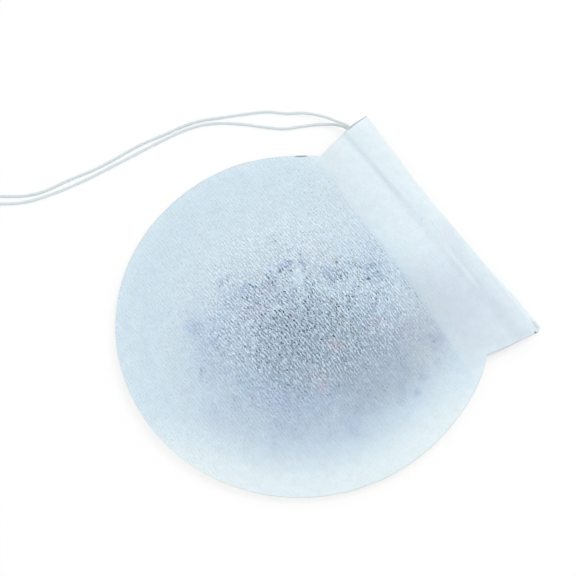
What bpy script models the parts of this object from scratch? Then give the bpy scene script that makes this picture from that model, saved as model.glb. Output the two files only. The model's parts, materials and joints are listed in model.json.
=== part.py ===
"""A round drawstring tea filter bag, lying filled on a table.

Two sheets of filter paper, each a disc with a short flared neck, are sealed together round the
disc. Each sheet is folded over at the mouth into a deep hem that lies inside the neck. A drawstring
runs through the front hem, turns at its right end and comes back through the back hem. Both of its
ends leave the hems at the left, lie loose on the table and end in one knot. A heap of dried tea
fills the disc.

Lengths are in metres. X runs along the mouth, Y from the disc out through the mouth and Z up. The
origin is on the table, under the middle of the paper bag. The shape functions below take their x
and y from the middle of the disc.
"""
import math

import bmesh
import bpy
import numpy as np
from mathutils import Vector

# Outline of the sheets
DISC_RADIUS = 0.045
SEAL_WIDTH = 0.007
NOTCH_HALF_WIDTH = 0.0332
NOTCH_OFFSET = 0.0009
LEAN_START_Y = 0.010
MOUTH_HALF_WIDTH = 0.0355
MOUTH_OFFSET = 0.0014
NECK_LENGTH = 0.0146
NECK_BOW = 0.0004
MOUTH_TURN = math.radians(1.66)
MOUTH_SAG = 0.0007
MOUTH_SAG_X = -0.008
MOUTH_SAG_WIDTH = 0.016
BACK_OVERHANG = 0.0011
OVERHANG_START_X = 0.0074

# Paper, string and the gap kept between things that touch
PAPER = 0.00015
GAP = 0.0003
STRING_DIAMETER = 0.0007
STRING_CLEARANCE = 0.0002

# Hem: depths below the mouth's edge at the left and right corners
HEM_DEPTH_LEFT = 0.0165
HEM_DEPTH_RIGHT = 0.0196
CREASE_DEPTH_LEFT = 0.0073
CREASE_DEPTH_RIGHT = 0.0052
CHANNEL_RAMP = 0.0013
STRING_ABOVE_CREASE = 0.0020
HEM_NOTCH_WIDTH = 0.0032
HEM_LEAD_IN = 0.0060
HEM_SETTLE = 0.0015

# Heights of the lying bag
RIM_HEIGHT = 0.0022
RIM_WAVE = 0.00025
RIM_WAVE_WIDTH = 0.018
RIM_WAVES = 3
RIM_WAVE_START = math.radians(34)
MOUTH_LIFT = 0.0004
MOUTH_LIFT_LENGTH = 0.027
FRONT_BULGE = 0.0062
BULGE_FULLNESS = 1.6
BULGE_CENTRE_X = 0.0050
BELLY_FLAT_RADIUS = 0.021

# Heap of dried tea
TEA_TO_SEAL = 0.0060
TEA_TO_HEM = 0.0030
TEA_LUMP = 0.0005
TEA_LUMP_SPACING_X = 0.0145
TEA_LUMP_SPACING_Y = 0.0170
TEA_LUMP_START = math.radians(46)
TEA_EDGE_POWER = 6

# Loose ends of the drawstring and their knot
KNOT_LENGTH = 0.0032
KNOT_WIDTH = 0.0027
KNOT_HEIGHT = 0.0020
TAIL_LENGTH = 0.0060
TAIL_SPREAD = math.radians(16)
STRAND_POINTS = 40
ROUTE_STEPS = 24
HEM_RUN_POINTS = 12
HEM_TURN_STEP = 15
STRAND_LIFT = 0.00003

# Looks of the plain materials
PAPER_COLOUR = (0.74, 0.83, 0.88)
PAPER_ROUGHNESS = 0.85
PAPER_OPACITY = 0.8
STRING_COLOUR = (0.86, 0.89, 0.90)
TEA_COLOUR = (0.20, 0.22, 0.19)
DRY_ROUGHNESS = 0.9

# How finely the surfaces are divided
COLUMNS = 24
DISC_ROWS = 28
NECK_ROWS = 5
CHANNEL_SHARES = (0.12, 0.25, 0.6, 1.0)
FOLD_ANGLES = (60, 20, -20, -60)
FLAP_CHANNEL_SHARES = (1.0, 0.45, 0.12)
FLAP_ROWS = 6
TEA_SEGMENTS = 36
TEA_RINGS = 18
STRING_ARC_STEPS = 2
KNOT_SEGMENTS = 20
KNOT_RINGS = 12
TAIL_SIDES = 10
POLE_MERGE = 0.000003

# Route of each loose end from where it leaves the hem, as (x, y, height) in this unit
ROUTE_UNIT = 0.001
FRONT_ROUTE = (
    (0.0, 0.0, 3.45), (-1.2, -0.4, 3.35), (-2.8, -1.2, 2.95), (-6.9, -3.0, 1.75), (-10.9, -6.0, 0.85),
    (-13.5, -9.3, 0.42), (-16.5, -12.4, 0.37), (-18.3, -15.1, 0.37), (-20.6, -19.2, 0.37),
    (-22.7, -23.1, 0.37), (-25.1, -27.7, 0.37), (-26.5, -32.1, 0.37), (-27.4, -36.8, 0.37),
    (-28.8, -43.4, 0.37), (-29.5, -50.7, 0.37), (-30.2, -56.1, 0.37), (-31.7, -62.6, 0.37),
    (-33.0, -69.5, 0.37), (-35.1, -74.3, 0.37), (-38.6, -79.0, 0.37), (-42.2, -84.0, 0.37),
    (-45.8, -88.3, 0.37),
)
BACK_ROUTE = (
    (0.0, 0.0, 1.75), (-1.1, -0.4, 1.72), (-2.2, -1.0, 1.55), (-3.8, -2.2, 1.15), (-6.3, -5.0, 0.55),
    (-8.6, -8.8, 0.37), (-10.7, -12.5, 0.37), (-14.3, -16.3, 0.37), (-18.1, -20.0, 0.37),
    (-21.7, -24.3, 0.37), (-24.0, -28.4, 0.37), (-25.5, -33.2, 0.37), (-26.5, -39.1, 0.37),
    (-27.1, -43.5, 0.37), (-28.1, -51.4, 0.37), (-29.1, -58.6, 0.37), (-30.4, -65.3, 0.37),
    (-32.2, -71.8, 0.37), (-34.2, -76.3, 0.37), (-37.1, -80.4, 0.37), (-40.9, -85.0, 0.37),
    (-44.9, -89.4, 0.37),
)
KNOT_OFFSET = (-47.9, -91.7)

# Values that follow from the sizes above
NOTCH_Y = math.sqrt(DISC_RADIUS ** 2 - NOTCH_HALF_WIDTH ** 2)
MOUTH_DISTANCE = NOTCH_Y + NECK_LENGTH
INNER_HEIGHT = GAP / 2 + PAPER / 2
LAYER_STEP = PAPER + GAP
CHANNEL_HEIGHT = PAPER + STRING_DIAMETER + 2 * STRING_CLEARANCE
FOLD_RADIUS = CHANNEL_HEIGHT / 2
STRING_OFFSET = INNER_HEIGHT + FOLD_RADIUS
BELLY_DEPTH = RIM_HEIGHT - INNER_HEIGHT - PAPER / 2
LEFT_CORNER_X = MOUTH_OFFSET - MOUTH_HALF_WIDTH
RIGHT_CORNER_X = MOUTH_OFFSET + MOUTH_HALF_WIDTH
FREE_RADIUS = DISC_RADIUS - SEAL_WIDTH
DISC_CENTRE_Y = (DISC_RADIUS - (MOUTH_DISTANCE - math.tan(MOUTH_TURN) * LEFT_CORNER_X)) / 2


def clear_scene():
    """Remove every object that the scene starts with."""
    for item in list(bpy.data.objects):
        bpy.data.objects.remove(item, do_unlink=True)


def make_material(name, colour, roughness, alpha=1.0):
    """A Principled material of one colour and roughness."""
    material = bpy.data.materials.new(name)
    material.use_nodes = True
    shader = material.node_tree.nodes["Principled BSDF"]
    shader.inputs["Base Color"].default_value = (*colour, 1.0)
    shader.inputs["Roughness"].default_value = roughness
    shader.inputs["Metallic"].default_value = 0.0
    shader.inputs["Alpha"].default_value = alpha
    return material


def ease(start, end, value):
    """Smooth step from 0 at start to 1 at end."""
    share = np.clip((value - start) / (end - start), 0.0, 1.0)
    return share * share * (3.0 - 2.0 * share)


def across_mouth(x, at_left, at_right):
    """A value that changes evenly from the mouth's left corner to its right one."""
    share = (x - LEFT_CORNER_X) / (RIGHT_CORNER_X - LEFT_CORNER_X)
    return at_left + (at_right - at_left) * share


def straight_mouth_y(x):
    """The slanting line between the mouth's corners."""
    return MOUTH_DISTANCE - math.tan(MOUTH_TURN) * x


def mouth_y(x):
    """The mouth's edge, which sags a little below the line between its corners."""
    return straight_mouth_y(x) - MOUTH_SAG * np.exp(-((x - MOUTH_SAG_X) / MOUTH_SAG_WIDTH) ** 2)


def crease_y(x):
    """The sealed crease that closes the string's channel."""
    return straight_mouth_y(x) - across_mouth(x, CREASE_DEPTH_LEFT, CREASE_DEPTH_RIGHT)


def flap_edge_y(x):
    """The hem's free edge inside the neck."""
    return straight_mouth_y(x) - across_mouth(x, HEM_DEPTH_LEFT, HEM_DEPTH_RIGHT)


def string_y(x):
    """The drawstring's line inside the channel."""
    return crease_y(x) + STRING_ABOVE_CREASE


def overhang(x):
    """How far the back sheet's mouth stands out past the front's, near the right corner only."""
    corner_start = RIGHT_CORNER_X - HEM_NOTCH_WIDTH
    rise = ease(OVERHANG_START_X, corner_start, x)
    return BACK_OVERHANG * rise * (1.0 - ease(corner_start, RIGHT_CORNER_X, x))


def neck_share(y):
    """0 at the notches and 1 at the mouth."""
    return np.clip((y - NOTCH_Y) / (MOUTH_DISTANCE - NOTCH_Y), 0.0, 1.0)


def middle_x(y):
    """The sheet's middle line: it leans to the right above the disc and on through the neck."""
    lean = NOTCH_OFFSET * ease(LEAN_START_Y, NOTCH_Y, y)
    return lean + (MOUTH_OFFSET - NOTCH_OFFSET) * neck_share(y)


def neck_half_width(y):
    """Half of the neck's width: it grows to the mouth, with sides that bow outwards."""
    share = neck_share(y)
    grown = NOTCH_HALF_WIDTH + (MOUTH_HALF_WIDTH - NOTCH_HALF_WIDTH) * share
    return grown + NECK_BOW * 4 * share * (1 - share)


def bulge_distance(x, y):
    """0 at the middle of the heap and 1 where the bag is flat, inside the rim's seal."""
    half_x = FREE_RADIUS - abs(BULGE_CENTRE_X)
    return np.hypot((x - BULGE_CENTRE_X) / half_x, y / FREE_RADIUS)


def middle_height(x, y):
    """Height of the level between the two sheets: a slightly wavy rim and a mouth that lifts."""
    angle = np.arctan2(y, x)
    near_rim = ease(DISC_RADIUS - RIM_WAVE_WIDTH, DISC_RADIUS, np.hypot(x, y))
    lifted = ease(MOUTH_DISTANCE - MOUTH_LIFT_LENGTH, MOUTH_DISTANCE, y)
    wave = RIM_WAVE * np.sin(RIM_WAVES * angle + RIM_WAVE_START) * near_rim * (1.0 - lifted)
    return RIM_HEIGHT + wave + MOUTH_LIFT * lifted


def front_bulge(x, y):
    """Rise of the front sheet over the tea."""
    rest = np.clip(1.0 - bulge_distance(x, y) ** 2, 0.0, 1.0)
    return FRONT_BULGE * rest ** BULGE_FULLNESS


def back_bulge(x, y):
    """Drop of the back sheet under the tea, down to a flat spot on the table."""
    return BELLY_DEPTH * (1.0 - ease(BELLY_FLAT_RADIUS / FREE_RADIUS, 1.0, bulge_distance(x, y)))


def outer_layer(x, y, bulge):
    """Distance of a sheet's outer layer from the middle level, with room for hem and string."""
    hem_start = flap_edge_y(x)
    hem_room = LAYER_STEP * ease(hem_start - HEM_LEAD_IN, hem_start - HEM_SETTLE, y)
    crease = crease_y(x)
    channel = (CHANNEL_HEIGHT - LAYER_STEP) * ease(crease, crease + CHANNEL_RAMP, y)
    return INNER_HEIGHT + hem_room + channel + bulge(x, y)


def column_shares():
    """Places across a sheet from -1 to 1, with one narrow column at the right for the hem's notch."""
    notch_start = 1.0 - HEM_NOTCH_WIDTH / MOUTH_HALF_WIDTH
    return np.append(np.linspace(-1.0, notch_start, COLUMNS), 1.0)


def neck_columns(middle_y):
    """X of each column in the neck, at a height along the middle line."""
    return middle_x(middle_y) + neck_half_width(middle_y) * column_shares()


def sheet_rows(bulge, overhang_share):
    """Rows of (x, y, distance from the middle level) from the disc's foot to the hem's free edge."""
    rows = []
    notch_angle = math.pi - math.asin(NOTCH_HALF_WIDTH / DISC_RADIUS)
    for index in range(DISC_ROWS + 1):
        angle = notch_angle * index / DISC_ROWS
        row_y = -DISC_RADIUS * math.cos(angle)
        x = middle_x(row_y) + DISC_RADIUS * math.sin(angle) * column_shares()
        y = np.full_like(x, row_y)
        rows.append((x, y, outer_layer(x, y, bulge)))

    crease_middle = crease_y(0.0)
    for index in range(1, NECK_ROWS + 1):
        share = index / NECK_ROWS
        x = neck_columns(NOTCH_Y + share * (crease_middle - NOTCH_Y))
        y = NOTCH_Y + share * (crease_y(x) - NOTCH_Y)
        rows.append((x, y, outer_layer(x, y, bulge)))

    for share in CHANNEL_SHARES:
        x = neck_columns(crease_middle + share * (MOUTH_DISTANCE - crease_middle))
        fold_y = mouth_y(x) + overhang_share * overhang(x) - FOLD_RADIUS
        y = crease_y(x) + share * (fold_y - crease_y(x))
        rows.append((x, y, outer_layer(x, y, bulge)))

    x = neck_columns(MOUTH_DISTANCE)
    fold_y = mouth_y(x) + overhang_share * overhang(x) - FOLD_RADIUS
    for degrees in FOLD_ANGLES:
        angle = math.radians(degrees)
        distance = INNER_HEIGHT + FOLD_RADIUS * (1.0 + math.sin(angle)) + bulge(x, fold_y)
        rows.append((x, fold_y + FOLD_RADIUS * math.cos(angle), distance))

    for share in FLAP_CHANNEL_SHARES:
        x = neck_columns(crease_middle + share * (MOUTH_DISTANCE - crease_middle))
        y = crease_y(x) + share * (fold_y - crease_y(x))
        rows.append((x, y, np.full_like(x, INNER_HEIGHT) + bulge(x, y)))

    flap_middle = flap_edge_y(0.0)
    for index in range(FLAP_ROWS + 1):
        share = index / FLAP_ROWS
        x = neck_columns(crease_middle + share * (flap_middle - crease_middle))
        y = crease_y(x) + share * (flap_edge_y(x) - crease_y(x))
        rows.append((x, y, outer_layer(x, y, bulge) - LAYER_STEP))
    return rows


def make_sheet(name, bulge, side, overhang_share, material, parent):
    """One folded sheet of filter paper: side is 1 for the front and -1 for the back."""
    rows = sheet_rows(bulge, overhang_share)
    columns = COLUMNS + 1
    mesh = bpy.data.meshes.new(name)
    shape = bmesh.new()
    bmesh.ops.create_grid(shape, x_segments=columns - 1, y_segments=len(rows) - 1, size=DISC_RADIUS)
    shape.verts.ensure_lookup_table()
    for row_index, (x, y, distance) in enumerate(rows):
        height = middle_height(x, y) + side * distance
        for column in range(columns):
            vert = shape.verts[row_index * columns + column]
            vert.co = Vector((x[column], y[column], height[column]))
    cut_string_notch(shape, columns)
    bmesh.ops.remove_doubles(shape, verts=shape.verts, dist=POLE_MERGE)
    if side < 0:
        bmesh.ops.reverse_faces(shape, faces=shape.faces)
    shape.to_mesh(mesh)
    shape.free()
    mesh.shade_smooth()
    sheet = add_object(name, mesh, material, parent)
    wall = sheet.modifiers.new("Paper", "SOLIDIFY")
    wall.thickness = PAPER
    wall.offset = 0.0
    return sheet


def cut_string_notch(shape, columns):
    """Open the folded-in hem's right end over the channel, where the drawstring turns back."""
    first_row = DISC_ROWS + NECK_ROWS + len(CHANNEL_SHARES) + len(FOLD_ANGLES) + 1
    last_row = first_row + len(FLAP_CHANNEL_SHARES) - 1
    notch = []
    for row in range(first_row, last_row):
        corner = shape.verts[row * columns + columns - 1]
        above = shape.verts[(row + 1) * columns + columns - 1]
        notch += [face for face in corner.link_faces if above in face.verts]
    bmesh.ops.delete(shape, geom=notch, context="FACES")


def add_object(name, data, material, parent):
    """Put a mesh or curve into the scene under its parent."""
    item = bpy.data.objects.new(name, data)
    item.data.materials.append(material)
    item.parent = parent
    bpy.context.scene.collection.objects.link(item)
    return item


def make_tea(material, parent):
    """The heap of dried tea: it fills the bag between the sheets and rounds off at its edge."""
    half_length = FREE_RADIUS - abs(BULGE_CENTRE_X) - TEA_TO_SEAL
    half_width = flap_edge_y(BULGE_CENTRE_X) - TEA_TO_HEM
    mesh = bpy.data.meshes.new("tea_filling")
    shape = bmesh.new()
    bmesh.ops.create_uvsphere(shape, u_segments=TEA_SEGMENTS, v_segments=TEA_RINGS, radius=1.0)
    for vert in shape.verts:
        x = BULGE_CENTRE_X + half_length * vert.co.x
        y = half_width * vert.co.y
        level = float(middle_height(x, y))
        wave_x = math.sin(math.tau * x / TEA_LUMP_SPACING_X)
        wave_y = math.sin(math.tau * y / TEA_LUMP_SPACING_Y + TEA_LUMP_START)
        lump = TEA_LUMP * (1.0 + wave_x * wave_y)
        top = level + INNER_HEIGHT + float(front_bulge(x, y)) - PAPER / 2 - GAP - lump
        bottom = level - INNER_HEIGHT - float(back_bulge(x, y)) + PAPER / 2 + GAP
        spread = min(1.0, math.hypot(vert.co.x, vert.co.y))
        reach = (top - bottom) / 2 * math.sqrt(1.0 - spread ** TEA_EDGE_POWER)
        vert.co = Vector((x, y, (top + bottom) / 2 + math.copysign(reach, vert.co.z)))
    bmesh.ops.recalc_face_normals(shape, faces=shape.faces)
    shape.to_mesh(mesh)
    shape.free()
    mesh.shade_smooth()
    return add_object("tea_filling", mesh, material, parent)


def smooth_route(points, count):
    """Even points along a Catmull-Rom curve through the route's own points."""
    route = np.array(points)
    route = np.vstack([2 * route[0] - route[1], route, 2 * route[-1] - route[-2]])
    t = np.linspace(0.0, 1.0, ROUTE_STEPS, endpoint=False)[:, None]
    pieces = []
    for a, b, c, d in zip(route[:-3], route[1:-2], route[2:-1], route[3:]):
        linear = c - a
        square = 2 * a - 5 * b + 4 * c - d
        cube = 3 * b - a - 3 * c + d
        pieces.append(0.5 * (2 * b + linear * t + square * t ** 2 + cube * t ** 3))
    dense = np.vstack(pieces + [route[-2:-1]])
    along = np.append(0.0, np.cumsum(np.linalg.norm(np.diff(dense, axis=0), axis=1)))
    wanted = np.linspace(0.0, along[-1], count)
    return np.stack([np.interp(wanted, along, dense[:, axis]) for axis in range(3)], axis=1)


def make_string(name, points, material, parent):
    """A round string along a list of points, with closed ends."""
    curve = bpy.data.curves.new(name, "CURVE")
    curve.dimensions = "3D"
    curve.bevel_depth = STRING_DIAMETER / 2
    curve.bevel_resolution = STRING_ARC_STEPS
    curve.use_fill_caps = True
    spline = curve.splines.new("POLY")
    spline.points.add(len(points) - 1)
    for spot, place in zip(spline.points, points):
        spot.co = (*place, 1.0)
        spot.radius = 1.0
    spline.use_smooth = True
    return add_object(name, curve, material, parent)


def channel_height(x, y, side):
    """Height of the drawstring's centre line in the front or back channel."""
    return float(middle_height(x, y)) + side * STRING_OFFSET


def left_exit_x():
    """Where the hem's left edge crosses the drawstring's line."""
    y = string_y(LEFT_CORNER_X)
    return float(middle_x(y) - neck_half_width(y))


def hem_route():
    """The drawstring's way through the front hem, round the right-hand notch and back."""
    turn_x = RIGHT_CORNER_X - HEM_NOTCH_WIDTH + STRING_CLEARANCE
    runs = np.linspace(left_exit_x(), turn_x, HEM_RUN_POINTS)
    front = [(x, string_y(x), channel_height(x, string_y(x), 1)) for x in runs]
    back = [(x, string_y(x), channel_height(x, string_y(x), -1)) for x in reversed(runs)]
    turn_y = string_y(turn_x)
    level = float(middle_height(turn_x, turn_y))
    turn = []
    for degrees in range(90 - HEM_TURN_STEP, -90, -HEM_TURN_STEP):
        angle = math.radians(degrees)
        x = turn_x + STRING_OFFSET * math.cos(angle)
        turn.append((x, turn_y, level + STRING_OFFSET * math.sin(angle)))
    return front + turn + back


def strand_route(drawn_route, side):
    """A loose end's points: out of the hem, down to the table and along it to the knot."""
    exit_x = left_exit_x()
    exit_y = string_y(exit_x)
    route = np.array(drawn_route) * ROUTE_UNIT
    hem_level = channel_height(exit_x, exit_y, side)
    table_level = STRING_DIAMETER / 2 + STRAND_LIFT
    drawn_hem, drawn_table = route[0, 2], route[-1, 2]
    share = (route[:, 2] - drawn_table) / (drawn_hem - drawn_table)
    height = table_level + share * (hem_level - table_level)
    points = np.stack([exit_x - GAP + route[:, 0], exit_y + route[:, 1], height], axis=1)
    knot, along = knot_place()
    sideways = np.array([-along[1], along[0]]) * (STRING_DIAMETER + GAP) / 2
    end = knot - along * (KNOT_LENGTH / 2 + GAP) - side * sideways
    points = np.vstack([points, [end[0], end[1], KNOT_HEIGHT / 2]])
    return smooth_route(points, STRAND_POINTS)


def knot_place():
    """The knot's middle on the table and the direction in which the strands run into it."""
    exit_x = left_exit_x()
    place = np.array([exit_x - GAP, string_y(exit_x)]) + np.array(KNOT_OFFSET) * ROUTE_UNIT
    ends = (np.array(FRONT_ROUTE[-1][:2]) + np.array(BACK_ROUTE[-1][:2])) / 2
    along = np.array(KNOT_OFFSET) - ends
    return place, along / np.linalg.norm(along)


def make_knot(material, parent):
    """The knot that ties both ends together, with the two short tails beyond it."""
    place, along = knot_place()
    heading = math.atan2(along[1], along[0])
    centre = Vector((place[0], place[1], KNOT_HEIGHT / 2))
    mesh = bpy.data.meshes.new("drawstring_knot")
    shape = bmesh.new()
    bmesh.ops.create_uvsphere(shape, u_segments=KNOT_SEGMENTS, v_segments=KNOT_RINGS, radius=1.0)
    half_size = (KNOT_LENGTH / 2, KNOT_WIDTH / 2, KNOT_HEIGHT / 2)
    bmesh.ops.scale(shape, vec=half_size, verts=shape.verts)
    shape.to_mesh(mesh)
    shape.free()
    mesh.shade_smooth()
    knot = add_object("drawstring_knot", mesh, material, parent)
    knot.location = centre
    knot.rotation_euler = (0.0, 0.0, heading)
    for index, turn in enumerate((TAIL_SPREAD, -TAIL_SPREAD)):
        tail = make_tail(f"tail_shape_{index}", turn, knot)
        join = knot.modifiers.new(f"Tail {index}", "BOOLEAN")
        join.operation = "UNION"
        join.solver = "EXACT"
        join.object = tail
    return knot


def make_tail(name, turn, knot):
    """One tail as a round bar from inside the knot down to the table."""
    drop = KNOT_HEIGHT / 2 - STRING_DIAMETER / 2 - STRAND_LIFT
    length = math.hypot(TAIL_LENGTH, drop)
    mesh = bpy.data.meshes.new(name)
    shape = bmesh.new()
    radius = STRING_DIAMETER / 2
    bmesh.ops.create_cone(
        shape, cap_ends=True, segments=TAIL_SIDES, radius1=radius, radius2=radius, depth=length)
    bmesh.ops.translate(shape, vec=(0.0, 0.0, length / 2), verts=shape.verts)
    shape.to_mesh(mesh)
    shape.free()
    tail = bpy.data.objects.new(name, mesh)
    bpy.context.scene.collection.objects.link(tail)
    tail.parent = knot
    tail.rotation_euler = (0.0, math.pi / 2 + math.atan2(drop, TAIL_LENGTH), turn)
    tail.hide_render = True
    tail.display_type = "WIRE"
    return tail


def main():
    """Build every sub-part of the bag."""
    clear_scene()
    bag = bpy.data.objects.new("bag", None)
    bag.location = (0.0, DISC_CENTRE_Y, 0.0)
    bpy.context.scene.collection.objects.link(bag)

    paper = make_material("filter_paper", PAPER_COLOUR, PAPER_ROUGHNESS, PAPER_OPACITY)
    string = make_material("cotton_string", STRING_COLOUR, DRY_ROUGHNESS)
    tea = make_material("dried_tea", TEA_COLOUR, DRY_ROUGHNESS)

    make_sheet("front_sheet", front_bulge, 1, 0.0, paper, bag)
    make_sheet("back_sheet", back_bulge, -1, 1.0, paper, bag)
    make_tea(tea, bag)
    make_string("drawstring", hem_route(), string, bag)
    make_string("drawstring_front_end", strand_route(FRONT_ROUTE, 1), string, bag)
    make_string("drawstring_back_end", strand_route(BACK_ROUTE, -1), string, bag)
    make_knot(string, bag)
    bpy.context.view_layer.update()


main()
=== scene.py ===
"""Looks of a round drawstring tea filter bag that lies filled on a table.

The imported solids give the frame. Each solid is replaced here by a finer surface of the same shape
and place: two folded sheets of filter paper, a heap of dried leaves and petals, the drawstring in
the hems, its two loose ends and their knot. Lengths are in metres. The shape functions take x and y
from the middle of the disc, which lies at DISC_CENTRE_Y in the row's frame.
"""

import json
import math

import bmesh
import bpy
import numpy as np
from bpy.props import FloatProperty, FloatVectorProperty, IntProperty, PointerProperty
from mathutils import Matrix

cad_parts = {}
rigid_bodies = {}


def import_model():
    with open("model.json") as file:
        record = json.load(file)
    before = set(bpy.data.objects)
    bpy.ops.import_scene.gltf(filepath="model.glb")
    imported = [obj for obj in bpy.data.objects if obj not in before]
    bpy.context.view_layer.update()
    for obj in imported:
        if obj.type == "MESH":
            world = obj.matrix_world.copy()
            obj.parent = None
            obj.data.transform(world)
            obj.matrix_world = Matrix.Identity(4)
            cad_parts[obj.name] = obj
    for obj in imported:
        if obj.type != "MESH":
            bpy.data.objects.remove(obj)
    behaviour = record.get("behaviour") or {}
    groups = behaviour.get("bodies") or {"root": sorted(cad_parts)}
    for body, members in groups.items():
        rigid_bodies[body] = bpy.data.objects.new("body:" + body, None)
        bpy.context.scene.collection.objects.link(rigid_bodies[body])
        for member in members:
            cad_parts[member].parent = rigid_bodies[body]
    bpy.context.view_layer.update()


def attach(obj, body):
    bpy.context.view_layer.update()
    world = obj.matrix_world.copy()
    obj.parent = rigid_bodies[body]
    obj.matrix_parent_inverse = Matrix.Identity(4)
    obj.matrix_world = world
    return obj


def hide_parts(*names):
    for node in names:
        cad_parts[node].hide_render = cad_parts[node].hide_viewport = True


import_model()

bl_info = {
    "name": "Drawstring Tea Filter Bag",
    "version": (1, 0, 0),
    "blender": (4, 5, 0),
    "location": "View3D > Sidebar > Tea Bag",
    "description": "Builds a filled drawstring filter bag from sheets, leaves and twisted string",
    "category": "Object",
}

# Outline of the sheets, as in the solids
DISC_RADIUS = 0.045
SEAL_WIDTH = 0.007
NOTCH_HALF_WIDTH = 0.0332
NOTCH_OFFSET = 0.0009
LEAN_START_Y = 0.010
MOUTH_HALF_WIDTH = 0.0355
MOUTH_OFFSET = 0.0014
NECK_LENGTH = 0.0146
NECK_BOW = 0.0004
MOUTH_TURN = math.radians(1.66)
MOUTH_SAG = 0.0007
MOUTH_SAG_X = -0.008
MOUTH_SAG_WIDTH = 0.016
BACK_OVERHANG = 0.0011
OVERHANG_START_X = 0.0074
HEM_DEPTH_LEFT = 0.0165
HEM_DEPTH_RIGHT = 0.0196
CREASE_DEPTH_LEFT = 0.0073
CREASE_DEPTH_RIGHT = 0.0052
STRING_ABOVE_CREASE = 0.0020
HEM_NOTCH_WIDTH = 0.0032
HEM_LEAD_IN = 0.0060
CORNER_ROUNDING = 0.0008

# Layers of paper, and how far from a notch the seal of the rim and that of the neck's sides reach
SEALED_GAP = 0.00001
OPEN_GAP = 0.00016
HEM_GAP = 0.00022
SEAL_EDGE = 0.0012
SIDE_SEAL = 0.0032
RIM_SEAL_END = 0.004
RIM_SEAL_PAST = 0.001
SIDE_SEAL_START = 0.006

# The drawstring in its channel
STRING_OFFSET = 0.00085
HEM_OVER_STRING = 0.00050
CHANNEL_RAMP = 0.0011
CREASE_SOFTENS = (-0.018, -0.003)
SOFT_RAMP = 2.4
PAST_STRING = 0.0006
MOUTH_SINKS = 0.8
CHANNEL_EDGE = 0.0002
FOLD_RADIUS = 0.00026

# Heights of the lying bag
RIM_HEIGHT = 0.0022
RIM_WAVE = 0.00025
RIM_WAVE_WIDTH = 0.018
RIM_WAVES = 3
RIM_WAVE_START = math.radians(34)
PUCKER_RADIUS = 0.0395
PUCKER_WIDTH = 0.0036
PUCKER_WAVES = (17.0, 29.0)
COCKLE_LENGTH = 0.0085
COCKLE_SEED = 3
COCKLE_INSIDE = 0.35
MOUTH_LIFT = 0.0004
MOUTH_LIFT_LENGTH = 0.027
FRONT_BULGE = 0.0062
BULGE_FULLNESS = 1.6
BULGE_CENTRE_X = 0.0050
BELLY_FLAT_RADIUS = 0.021
BELLY_DEPTH = 0.0019

# Heap of dried leaves: its dense core is an oval whose long axis leans to the right at the top
HEAP_CENTRE = (0.0084, -0.0036)
HEAP_LEAN = math.radians(15.5)
HEAP_SIDE = 0.0205
HEAP_UP = 0.0270
HEAP_DOWN = 0.0270
HEAP_TOUCH = 0.0003
HEAP_FALL = 0.0016
HEAP_COLUMNS = 128
HEAP_ROWS = 65
HEAP_LUMPS = ((0.00022, 0.0034, 21), (0.0001, 0.0014, 22))

# How far the tea spreads from its densest place, across and along its own leaning long axis
TEA_CENTRE = (0.0094, -0.0058)
TEA_LEAN = math.radians(19.2)
TEA_RIGHT = 0.0272
TEA_LEFT = 0.0352
TEA_UP = 0.0495
TEA_DOWN = 0.0294

# Loose leaves: how they are spread, how deep they lie, and their shares of green, brown, pink and
# violet
TRIES_PER_LEAF = 12
CLUMP_LENGTH = 0.011
CLUMP_SEED = 807
DENSEST_COVER = 0.9
COVER_POWER = 1.3
EDGE_ROOM = 0.003
UPPER_LEAVES = 0.68
LEAF_DEPTH = 0.0007
LEAF_LIFT = 0.0002
LEAF_KINDS = (0.46, 0.30, 0.10, 0.14)

# Large petals under the front sheet: x, y, length and width in mm, heading in degrees, colour
PETAL_DEPTH = 0.00025
PETALS = (
    (13.6, -17.0, 6.5, 4.0, 30, (0.115, 0.103, 0.203)),
    (9.5, -16.6, 5.0, 3.4, 100, (0.131, 0.115, 0.219)),
    (-7.7, -8.6, 7.5, 4.6, 60, (0.243, 0.123, 0.179)),
    (-10.5, -2.5, 6.5, 4.2, 120, (0.219, 0.131, 0.211)),
    (15.4, -6.4, 6.0, 3.6, 10, (0.203, 0.123, 0.179)),
    (13.0, 12.0, 8.5, 4.6, 80, (0.219, 0.107, 0.115)),
    (17.5, 16.5, 8.0, 4.4, 70, (0.171, 0.115, 0.131)),
    (7.9, 6.5, 7.0, 4.4, 20, (0.131, 0.131, 0.087)),
    (17.7, -6.9, 6.0, 3.2, 150, (0.235, 0.115, 0.131)),
    (11.7, 1.6, 6.5, 3.8, 45, (0.195, 0.115, 0.139)),
    (9.3, -7.2, 5.5, 3.4, 75, (0.123, 0.107, 0.179)),
    (-13.2, 5.0, 4.6, 2.8, 95, (0.187, 0.139, 0.211)),
    (-12.4, -5.6, 6.5, 4.6, 20, (0.105, 0.103, 0.120)),
    (-5.4, 0.2, 6.0, 4.4, 75, (0.125, 0.112, 0.135)),
    (-4.5, 12.5, 6.0, 3.8, 15, (0.155, 0.123, 0.187)),
    (3.0, -13.5, 6.0, 3.6, 130, (0.091, 0.107, 0.107)),
)

# Where tea presses the front sheet, and where tea under the flap gets painted shade on the hem
PRESSED_CENTRE = (-0.0045, 0.0008)
PRESSED_SIDE = 0.0240
PRESSED_UP = 0.0310
PRESSED_DOWN = 0.0225
UNDER_FLAP_CENTRE = (0.0170, 0.0270)
UNDER_FLAP_SIDE = 0.0185
UNDER_FLAP_UP = 0.0135
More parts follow.
